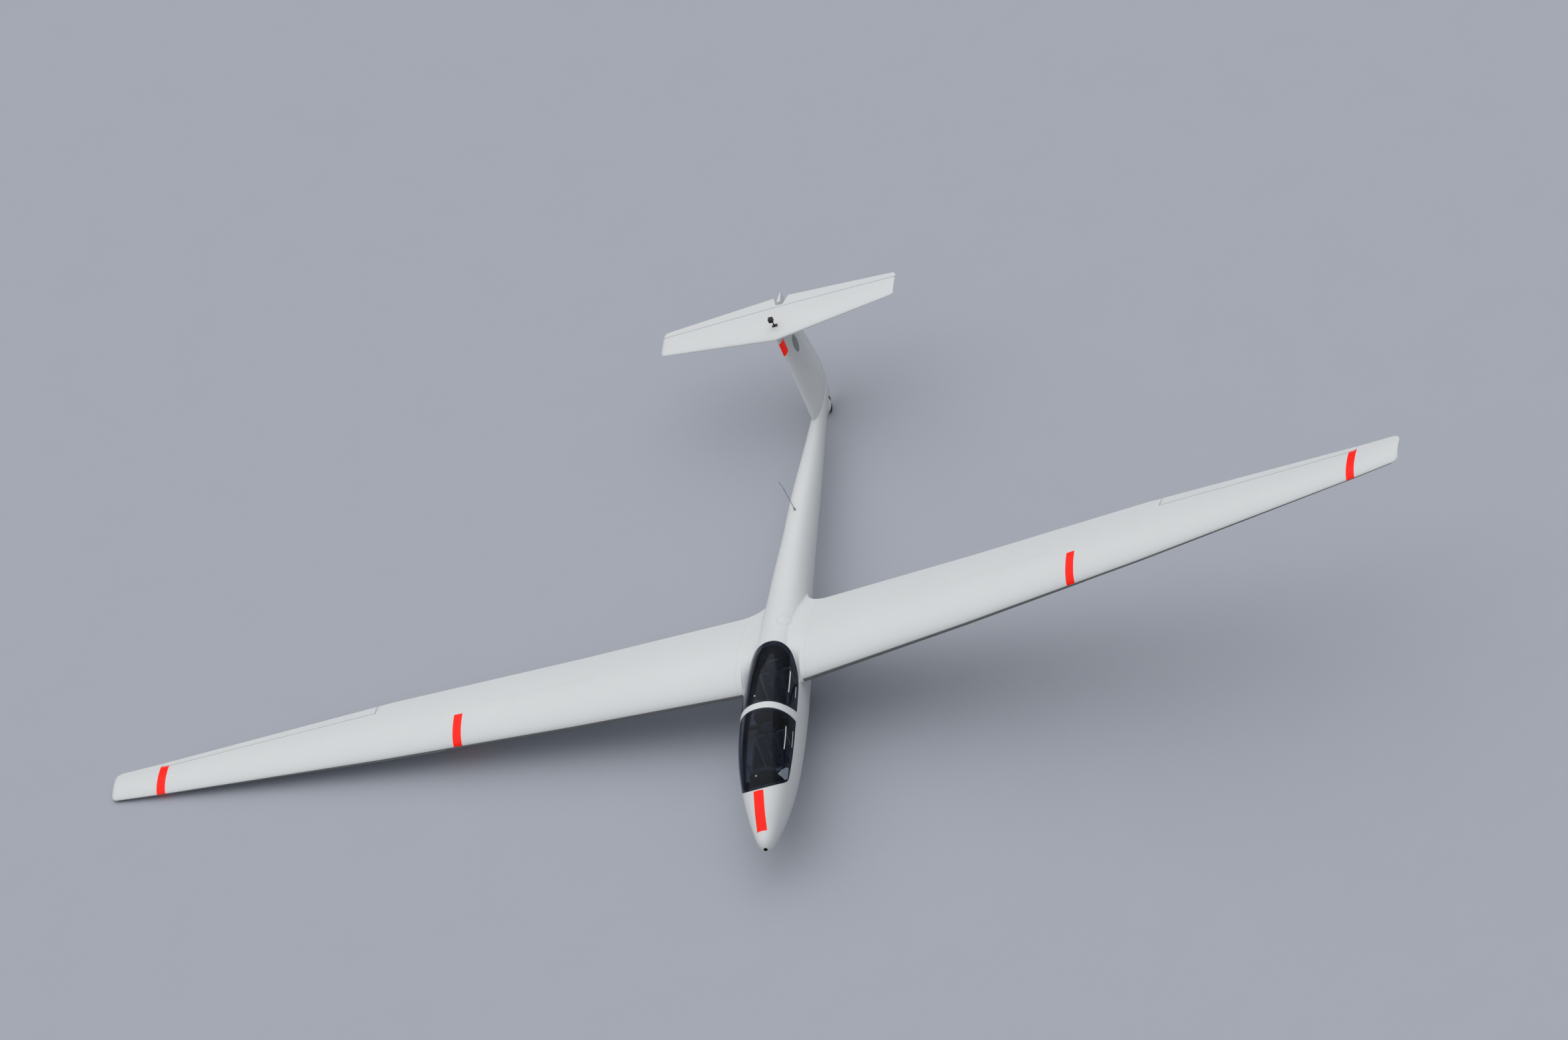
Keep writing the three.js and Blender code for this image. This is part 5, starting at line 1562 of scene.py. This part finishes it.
def makePedals(word):
    y, z = pedals[word]["y"], pedals[word]["z"]
    reach = fuselageSide(y, z) - fuselage["skin"]
    parts = [paint(pipePiece("rail", [(-reach, y, z), (reach, y, z)], pedalShape["rail"], sides=18), steel)]
    outline = [(y + aft, z + up) for aft, up in pedalShape["plate"]]
    (foot, low), (top, high) = outline[1:3]
    for side in (-1, 1):
        x = side * pedals[word]["spread"]

        def bar(name, half, aft, up, radius, sides):
            return pipePiece(name, [(x - half, aft, up), (x + half, aft, up)], radius, sides=sides)

        plate = slabPiece("plate", outline, x - pedalShape["half"], x + pedalShape["half"])
        parts.append(paint(changeBy(plate, "BEVEL", width=0.004, segments=2), blackPlastic))
        for rib in range(pedalShape["ribs"]):
            share = 0.15 + 0.17 * rib
            aft, up = foot + (top - foot) * share + 0.001, low + (high - low) * share
            pad = bar("rib", pedalShape["ribHalf"], aft, up, pedalShape["ribRadius"], 6)
            parts.append(paint(pad, rubber))
        parts.append(paint(bar("heel", pedalShape["heelHalf"], foot, z, pedalShape["heel"], 18), steel))
    setDown(joinAll(parts, f"{word}Pedals"), "airframe", [f"{word}_pedals"])


consoleShape = {
    "outline": [(1.12, -0.096), (1.12, -0.06), (2.48, 0.01), (2.48, -0.05), (1.76, -0.096)],
    "across": (0.262, 0.40),
    "leverPlace": 0.276,
    "levers": [(1.33, -0.08), (2.29, -0.02)],
    "slot": (0.009, 0.06),  # half width, half length
    "lever": [(0, 0), (0.003, 0.075)],
    "leverRadius": 0.006,
    "knob": [(0.002, 0.062), (0.003, 0.078), (0.004, 0.094), (0.004, 0.103)],
    "knobRadii": [0.011, 0.0145, 0.0145, 0.010],
}


def makeConsole(word, side, knobFinish):
    low, high = sorted(side * across for across in consoleShape["across"])
    shelf = slabPiece(f"{word}Console", consoleShape["outline"], low, high)
    changeBy(shelf, "BEVEL", width=0.006, segments=3)
    combine(shelf, fuselageLoft("keepRoom", 0.9, 2.8, fuselage["skin"], 26), "INTERSECT")
    parts = [paint(shelf, seatShell)]
    x = side * consoleShape["leverPlace"]
    wide, long = consoleShape["slot"]
    for y, z in consoleShape["levers"]:
        slot = blockPiece("slot", (x - wide, y - long, z + 0.02), (x + wide, y + long, z + 0.034), 0.003)
        stem, grip = (lineFrom(x, y, z, consoleShape[key]) for key in ("lever", "knob"))
        lever = pipePiece("lever", stem, consoleShape["leverRadius"], sides=16)
        knob = pipePiece("knob", grip, consoleShape["knobRadii"], sides=20)
        parts += [paint(slot, blackPlastic), paint(lever, steel), paint(knob, knobFinish)]
    setDown(joinAll(parts), "airframe", [f"{word}_console"])


for word in sticks:
    makeStick(word)
for word in pedals:
    makePedals(word)
makeConsole("left", 1, leverBlue)
makeConsole("right", -1, leverGreen)
print("controls made")

# Canopy arms, strips on the panes, and the clear-vision window

canopyHinges = {  # arm: (into the canopy, up) from the hinge
    "front": {"y": 0.632, "z": 0.1215, "toward": 1,
              "arm": [(0, 0), (0.061, -0.073), (0.092, 0.01), (0.068, 0.0385)]},
    "rear": {"y": 3.0698, "z": 0.3586, "toward": -1,
             "arm": [(0, 0), (0.061, -0.073), (0.098, 0.004), (0.091, 0.03)]},
}
armShape = {
    "radius": 0.0058,
    "eye": [(0.0045, -0.006), (0.009, -0.006), (0.009, 0.006), (0.0045, 0.006)],
    "pinHalf": 0.014,
    "pinRadius": 0.004,
}
paneStrips = {  # on the port side of each pane: (y, z) of both ends, and the width
    "front": [((1.226, 0.209), (1.572, 0.255), 0.011), ((1.341, 0.105), (1.584, 0.137), 0.007)],
    "rear": [((2.129, 0.294), (2.492, 0.298), 0.011), ((2.126, 0.186), (2.304, 0.195), 0.007)],
}
paneDots = {"front": (-0.009, 0.831, 0.244), "rear": (-0.054, 2.017, 0.464)}
stripShape = {"in": 0.001, "out": 0.0015, "steps": 14, "dotHalf": 0.006, "dotRadius": 0.010}


def makeArms(word):
    hinge = canopyHinges[word]
    y, z = hinge["y"], hinge["z"]
    arms, pins = [], []
    for side in (-1, 1):
        x = side * cockpit["armPlace"]
        line = lineFrom(x, y, z, [(hinge["toward"] * run, rise) for run, rise in hinge["arm"]])
        arms.append(pipePiece("arm", line, armShape["radius"], sides=16))
        arms.append(turnedPiece("eye", armShape["eye"], (x, y, z), "x", 24))
        ends = [(x - armShape["pinHalf"], y, z), (x + armShape["pinHalf"], y, z)]
        pins.append(pipePiece("pin", ends, armShape["pinRadius"], sides=16))
    arm = paint(joinAll(arms, f"{word}CanopyArms"), canopyFrameFinish)
    setDown(arm, f"{word}_canopy", angle=50)
    setDown(paint(joinAll(pins, f"{word}CanopyPins"), steel), "airframe")


def makeStrips(word):
    strips = []
    inside, outside = stripShape["in"], stripShape["out"]
    for start, end, wide in paneStrips[word]:
        rings = []
        for t in np.linspace(0, 1, stripShape["steps"]):
            y, z = (a + t * (b - a) for a, b in zip(start, end))
            low, high = z - wide / 2, z + wide / 2
            lowX, highX = fuselageSide(y, low), fuselageSide(y, high)
            rings.append([(lowX + outside, y, low), (highX + outside, y, high),
                          (highX - inside, y, high), (lowX - inside, y, low)])
        strips.append(loftPiece("strip", rings))
    x, y, z = paneDots[word]
    ends = [(x, y, z - stripShape["dotHalf"]), (x, y, z + stripShape["dotHalf"])]
    strips.append(pipePiece("dot", ends, stripShape["dotRadius"], sides=20))
    strip = paint(joinAll(strips, f"{word}PaneStrips"), dialWhite)
    setDown(strip, f"{word}_canopy", angle=50)


clearWindow = {
    "outline": [(0.838, 0.066), (0.884, 0.028), (1.03, 0.07), (1.0, 0.112), (0.935, 0.15), (0.862, 0.166)],
    "outside": 0.0035,  # past the glass
    "inside": 0.0004,
    "round": 0.008,
}


def makeClearWindow():
    pane = paint(fuselageLoft("clearVisionPane", 0.7, 1.3, -clearWindow["outside"], 30), windowPane)
    combine(pane, paint(fuselageLoft("cutPane", 0.6, 1.4, -clearWindow["inside"], 36), windowPane))
    keep = slabPiece("keepPane", clearWindow["outline"], 0.1, 0.6)
    combine(pane, changeBy(keep, "BEVEL", width=clearWindow["round"], segments=3), "INTERSECT")
    setDown(pane, "front_canopy", ["clear_vision_window"], angle=40)


for word in ("front", "rear"):
    makeArms(word)
    makeStrips(word)
makeClearWindow()
print("canopy fittings made")

# Wheels: tyres with grooves, rims with bolts, axles with their forks

tyreShape = {
    "bead": 0.66,  # share of the half width, as flat is
    "flat": 0.42,
    "side": [(0.6, 0.93), (0.74, 1), (0.86, 0.95), (0.94, 0.76), (0.982, 0.55)],  # of radius and half width
    "beadRise": (0.006, 0.002),
    "grooveDeep": 0.003,
    "grooveSlope": 0.001,
    "grooveWide": 0.006,
    "grooves": 4,
    "smallUnder": 0.12,  # a smaller tyre has half the grooves, each half as wide
}
rimShape = {
    "play": 0.0008,  # round the axle
    "boss": 0.013,
    "web": 0.006,
    "under": 0.0006,  # inside the tyre
    "bolts": 6,
    "boltRadius": 0.0045,
    "boltHead": 0.005,
}
forkShape = {
    "thick": 0.007,
    "foot": 0.026,
    "rise": 0.82,  # share of the tyre's radius
    "holes": (0.4, 0.72),  # shares of the rise
    "hole": 0.012,
    "collar": 0.006,  # past the axle's radius, as nut is
    "nut": 0.009,
    "nutLong": 0.006,
    "play": 0.0003,
}


def tyreProfile(wheel):
    half, radius, rim = wheel["width"] / 2, wheel["radius"], wheel["rim"]
    bead, (inward, outward) = half * tyreShape["bead"], tyreShape["beadRise"]
    side = [(rim, bead), (rim + inward, bead + outward)]
    side += [(radius * high, half * wide) for high, wide in tyreShape["side"]]
    small = 2 if radius < tyreShape["smallUnder"] else 1
    wide, count = tyreShape["grooveWide"] / small, tyreShape["grooves"] // small
    flat, floor, slope = half * tyreShape["flat"], radius - tyreShape["grooveDeep"], tyreShape["grooveSlope"]
    tread = []
    for i in range(count):
        middle = flat - 2 * flat * (i + 0.5) / count
        tread += [(radius, middle + wide / 2), (floor, middle + wide / 2 - slope),
                  (floor, middle - wide / 2 + slope), (radius, middle - wide / 2)]
    return side + tread + [(r, -x) for r, x in side[::-1]] + [(rim, 0.001 - bead)]


def rimProfile(wheel):
    hub, rim, web = wheel["hub"] / 2, wheel["rim"] - rimShape["under"], rimShape["web"]
    bead, boss = wheel["width"] / 2 * tyreShape["bead"], wheel["axle"] + rimShape["boss"]
    half = [(wheel["axle"] + rimShape["play"], hub), (boss - 0.002, hub), (boss, hub - 0.002),
            (boss + 0.002, web + 0.002), (boss + 0.004, web), (rim - 0.014, web), (rim - 0.011, web + 0.003),
            (rim - 0.009, bead - 0.002), (rim - 0.007, bead), (rim, bead)]
    return [(r, -x) for r, x in half] + half[::-1]


def makeRim(word, wheel, centre):
    _, y, z = centre
    rim, boss = wheel["rim"] - rimShape["under"], wheel["axle"] + rimShape["boss"]
    parts = [paint(turnedPiece(f"{word}Rim", rimProfile(wheel), centre, "x", 64), rimFinish)]
    circle, end = (boss + rim - 0.012) / 2, rimShape["web"] + rimShape["boltHead"]
    size = min(rimShape["boltRadius"], (rim - boss) / 5)
    for i in range(rimShape["bolts"]):
        turn = 2 * math.pi * i / rimShape["bolts"]
        at = (y + circle * math.cos(turn), z + circle * math.sin(turn))
        parts.append(paint(pipePiece("bolt", [(-end, *at), (end, *at)], size, sides=6), steel))
    setDown(joinAll(parts), f"{word}_wheel", [f"{word}_rim"])


def makeAxle(word, wheel, centre):
    # with its collars and, but for the tail wheel, the two plates that it hangs from and their nuts
    _, y, z = centre
    end = wheel["width"] / 2 + wheel["wellSide"] - forkShape["play"]
    parts = []

    def bar(name, first, last, radius, **ends):
        parts.append(paint(pipePiece(name, [(first, y, z), (last, y, z)], radius, **ends), steel))

    bar(f"{word}Axle", -end, end, wheel["axle"], sides=28)
    foot, rise, thick = forkShape["foot"], wheel["radius"] * forkShape["rise"], forkShape["thick"]
    lower = np.linspace(math.pi, 2 * math.pi, 15)
    outline = [(y + foot * math.cos(t), z + foot * math.sin(t)) for t in lower]
    outline += [(y + foot, z + rise), (y - foot, z + rise)]
    for side in (-1, 1):
        collar = side * (wheel["hub"] / 2 + 0.001)
        bar("collar", collar, side * end, wheel["axle"] + forkShape["collar"], sides=28, softEnd=0.08)
        if word == "tail":
            continue
        low, high = sorted((side * (end - thick), side * end))
        plate = slabPiece("plate", outline, low, high)
        for share in forkShape["holes"]:
            hole = [(low - 0.01, y, z + rise * share), (high + 0.01, y, z + rise * share)]
            combine(plate, pipePiece("cutHole", hole, forkShape["hole"]))
        parts.append(paint(plate, steel))
        bar("nut", side * (end - thick - forkShape["nutLong"]), side * (end - 0.002),
            wheel["axle"] + forkShape["nut"], sides=6, softEnd=0.1)
    setDown(joinAll(parts), "airframe", [f"{word}_axle"])


for word, wheel in wheels.items():
    centre = (0, wheel["y"], wheel["z"])
    tyre = paint(turnedPiece(f"{word}Tyre", tyreProfile(wheel), centre, "x", 80), rubber)
    setDown(tyre, f"{word}_wheel", [f"{word}_tyre"], angle=40)
    makeRim(word, wheel, centre)
    makeAxle(word, wheel, centre)
print("wheels made")

# Small pieces outside

towHooks = {"nose": (0.330, -0.371), "belly": (2.680, -0.481)}  # y, and the belly's level there
towHookShape = {
    "half": (0.016, 0.044),
    "above": 0.012,  # into the belly
    "below": 0.008,
    "ring": [(0.008, -0.008), (0.0155, -0.008), (0.0165, -0.006), (0.0165, 0.006), (0.0155, 0.008),
             (0.008, 0.008)],
    "ringPlace": (0.01, -0.010),
    "screws": (-0.034, -0.018),
    "screw": 0.004,
}


def makeTowHook(word):
    y, bottom = towHooks[word]
    wide, long = towHookShape["half"]
    low, (aft, down) = bottom - towHookShape["below"], towHookShape["ringPlace"]
    top = bottom + towHookShape["above"]
    parts = [blockPiece(f"{word}TowHook", (-wide, y - long, low), (wide, y + long, top), 0.003),
             turnedPiece("eye", towHookShape["ring"], (0, y + aft, low + down), "x", 32)]
    for shift in towHookShape["screws"]:
        ends = [(0, y + shift, low - 0.0015), (0, y + shift, low + 0.002)]
        parts.append(pipePiece("screw", ends, towHookShape["screw"], sides=6))
    setDown(joinAll([paint(part, steel) for part in parts]), "airframe", [f"{word}_tow_hook"])


probe = {  # (y, z, radius) of the foot and of the bent mast
    "foot": [(5.532, 0.205, 0.016), (5.533, 0.225, 0.013), (5.5345, 0.26, 0.007)],
    "mast": [(5.533, 0.2, 0.0058), (5.5605, 0.585, 0.0048), (5.5612, 0.6, 0.0048), (5.5575, 0.614, 0.0048),
             (5.549, 0.6335, 0.0046), (5.522, 0.705, 0.0046)],
}


def makeProbe():
    parts = []
    for name, rows, sides in (("energyProbe", probe["foot"], 24), ("mast", probe["mast"], 16)):
        line = [(0, y, z) for y, z, _ in rows]
        parts.append(paint(pipePiece(name, line, [radius for *_, radius in rows], sides=sides), steel))
    setDown(joinAll(parts), "airframe", ["energy_probe"], angle=50)


tailCamera = {  # (aft, up) from its place on the stabiliser; the foot and the head are (across, aft, up)
    "y": 7.712,
    "foot": [(-0.034, -0.022, 0.0315), (0.034, 0.022, 0.056)],
    "stalk": [(0, 0.05), (-0.008, 0.1), (-0.02, 0.15)],
    "stalkRadius": 0.008,
    "head": [(-0.03, -0.052, 0.14), (0.03, 0.008, 0.196)],
    "lens": (-0.052, 0.168),
    "barrel": [(0.019, 0.004), (0.02, -0.002), (0.02, -0.01), (0.017, -0.0115), (0.015, -0.008),
               (0.014, -0.004)],
    "eye": [(-0.054, 0.168), (-0.058, 0.168)],
    "eyeRadius": 0.0135,
}


def makeTailCamera():
    y, level = tailCamera["y"], tailplane["level"]
    foot, head = ([(x, y + aft, level + up) for x, aft, up in tailCamera[key]] for key in ("foot", "head"))
    aft, up = tailCamera["lens"]
    parts = [
        blockPiece("tailCamera", *foot, 0.004),
        pipePiece("stalk", lineFrom(0, y, level, tailCamera["stalk"]), tailCamera["stalkRadius"]),
        blockPiece("head", *head, 0.008, 4),
        turnedPiece("lens", tailCamera["barrel"], (0, y + aft, level + up), "y", 32, joined=False),
    ]
    parts = [paint(part, blackPlastic) for part in parts]
    eye = pipePiece("lensEye", lineFrom(0, y, level, tailCamera["eye"]), tailCamera["eyeRadius"], sides=28)
    setDown(joinAll([*parts, paint(eye, lensGlass)]), "airframe", ["tail_camera"], angle=45)


for word in towHooks:
    makeTowHook(word)
makeProbe()
makeTailCamera()
print("small pieces made")

# Camera, floor and light

view = {
    "place": (82.4449, -168.2972, 142.2114),
    "right": (0.906604, 0.094871, -0.41118),
    "into": (-0.345418, 0.726561, -0.593966),
    "lens": 453.2048,
}


def makeCamera():
    right, into = Vector(view["right"]).normalized(), Vector(view["into"]).normalized()
    up = right.cross(into)
    pose = Matrix((right, up, -into)).transposed().to_4x4()
    camera = bpy.data.objects.new("camera", bpy.data.cameras.new("camera"))
    bpy.context.scene.collection.objects.link(camera)
    camera.matrix_world = toGround @ (Matrix.Translation(view["place"]) @ pose)
    camera.data.lens = view["lens"]
    camera.data.sensor_width = 36
    camera.data.clip_start, camera.data.clip_end = 1.0, 900.0
    bpy.context.scene.camera = camera


studio = {"floor": (0.405, 0.425, 0.475, 1), "floorSize": 160, "sky": (0.93, 0.96, 1.0, 1), "skyPower": 0.91,
          "horizon": 0.05, "sun": 1.0, "sunAngle": 90, "sunFrom": (-0.30, 0.30, 1.0)}


def makeStudio():
    clearSelection()
    bpy.ops.mesh.primitive_plane_add(size=studio["floorSize"], location=(0, 0, 0))
    floor = bpy.context.active_object
    floor.name = "floor"
    paint(floor, hardFinish("floorPaint", studio["floor"], 0.75, dust=0.0, tone=0.03, bump=0.0))
    # the sky is dim at the horizon and bright overhead
    world = bpy.data.worlds.new("studio")
    bpy.context.scene.world = world
    world.use_nodes = True
    tree = world.node_tree
    sky = tree.nodes["Background"]
    sky.inputs["Color"].default_value = studio["sky"]
    split = tree.nodes.new("ShaderNodeSeparateXYZ")
    tree.links.new(tree.nodes.new("ShaderNodeTexCoord").outputs["Generated"], split.inputs[0])
    height = sums(tree, "MAXIMUM", split.outputs[2], 0.0)
    height = times(tree, height, studio["skyPower"] * (1 - studio["horizon"]))
    height = sums(tree, "ADD", height, studio["skyPower"] * studio["horizon"])
    tree.links.new(height, sky.inputs["Strength"])
    lamp = bpy.data.lights.new("softLight", "SUN")
    lamp.energy = studio["sun"]
    lamp.angle = math.radians(studio["sunAngle"])
    lampObject = bpy.data.objects.new("softLight", lamp)
    bpy.context.scene.collection.objects.link(lampObject)
    lampObject.rotation_mode = "QUATERNION"
    lampObject.rotation_quaternion = Vector(studio["sunFrom"]).to_track_quat("Z", "Y")
    settings = bpy.context.scene.view_settings
    settings.view_transform = "Standard"
    settings.look = "None"


makeCamera()
makeStudio()
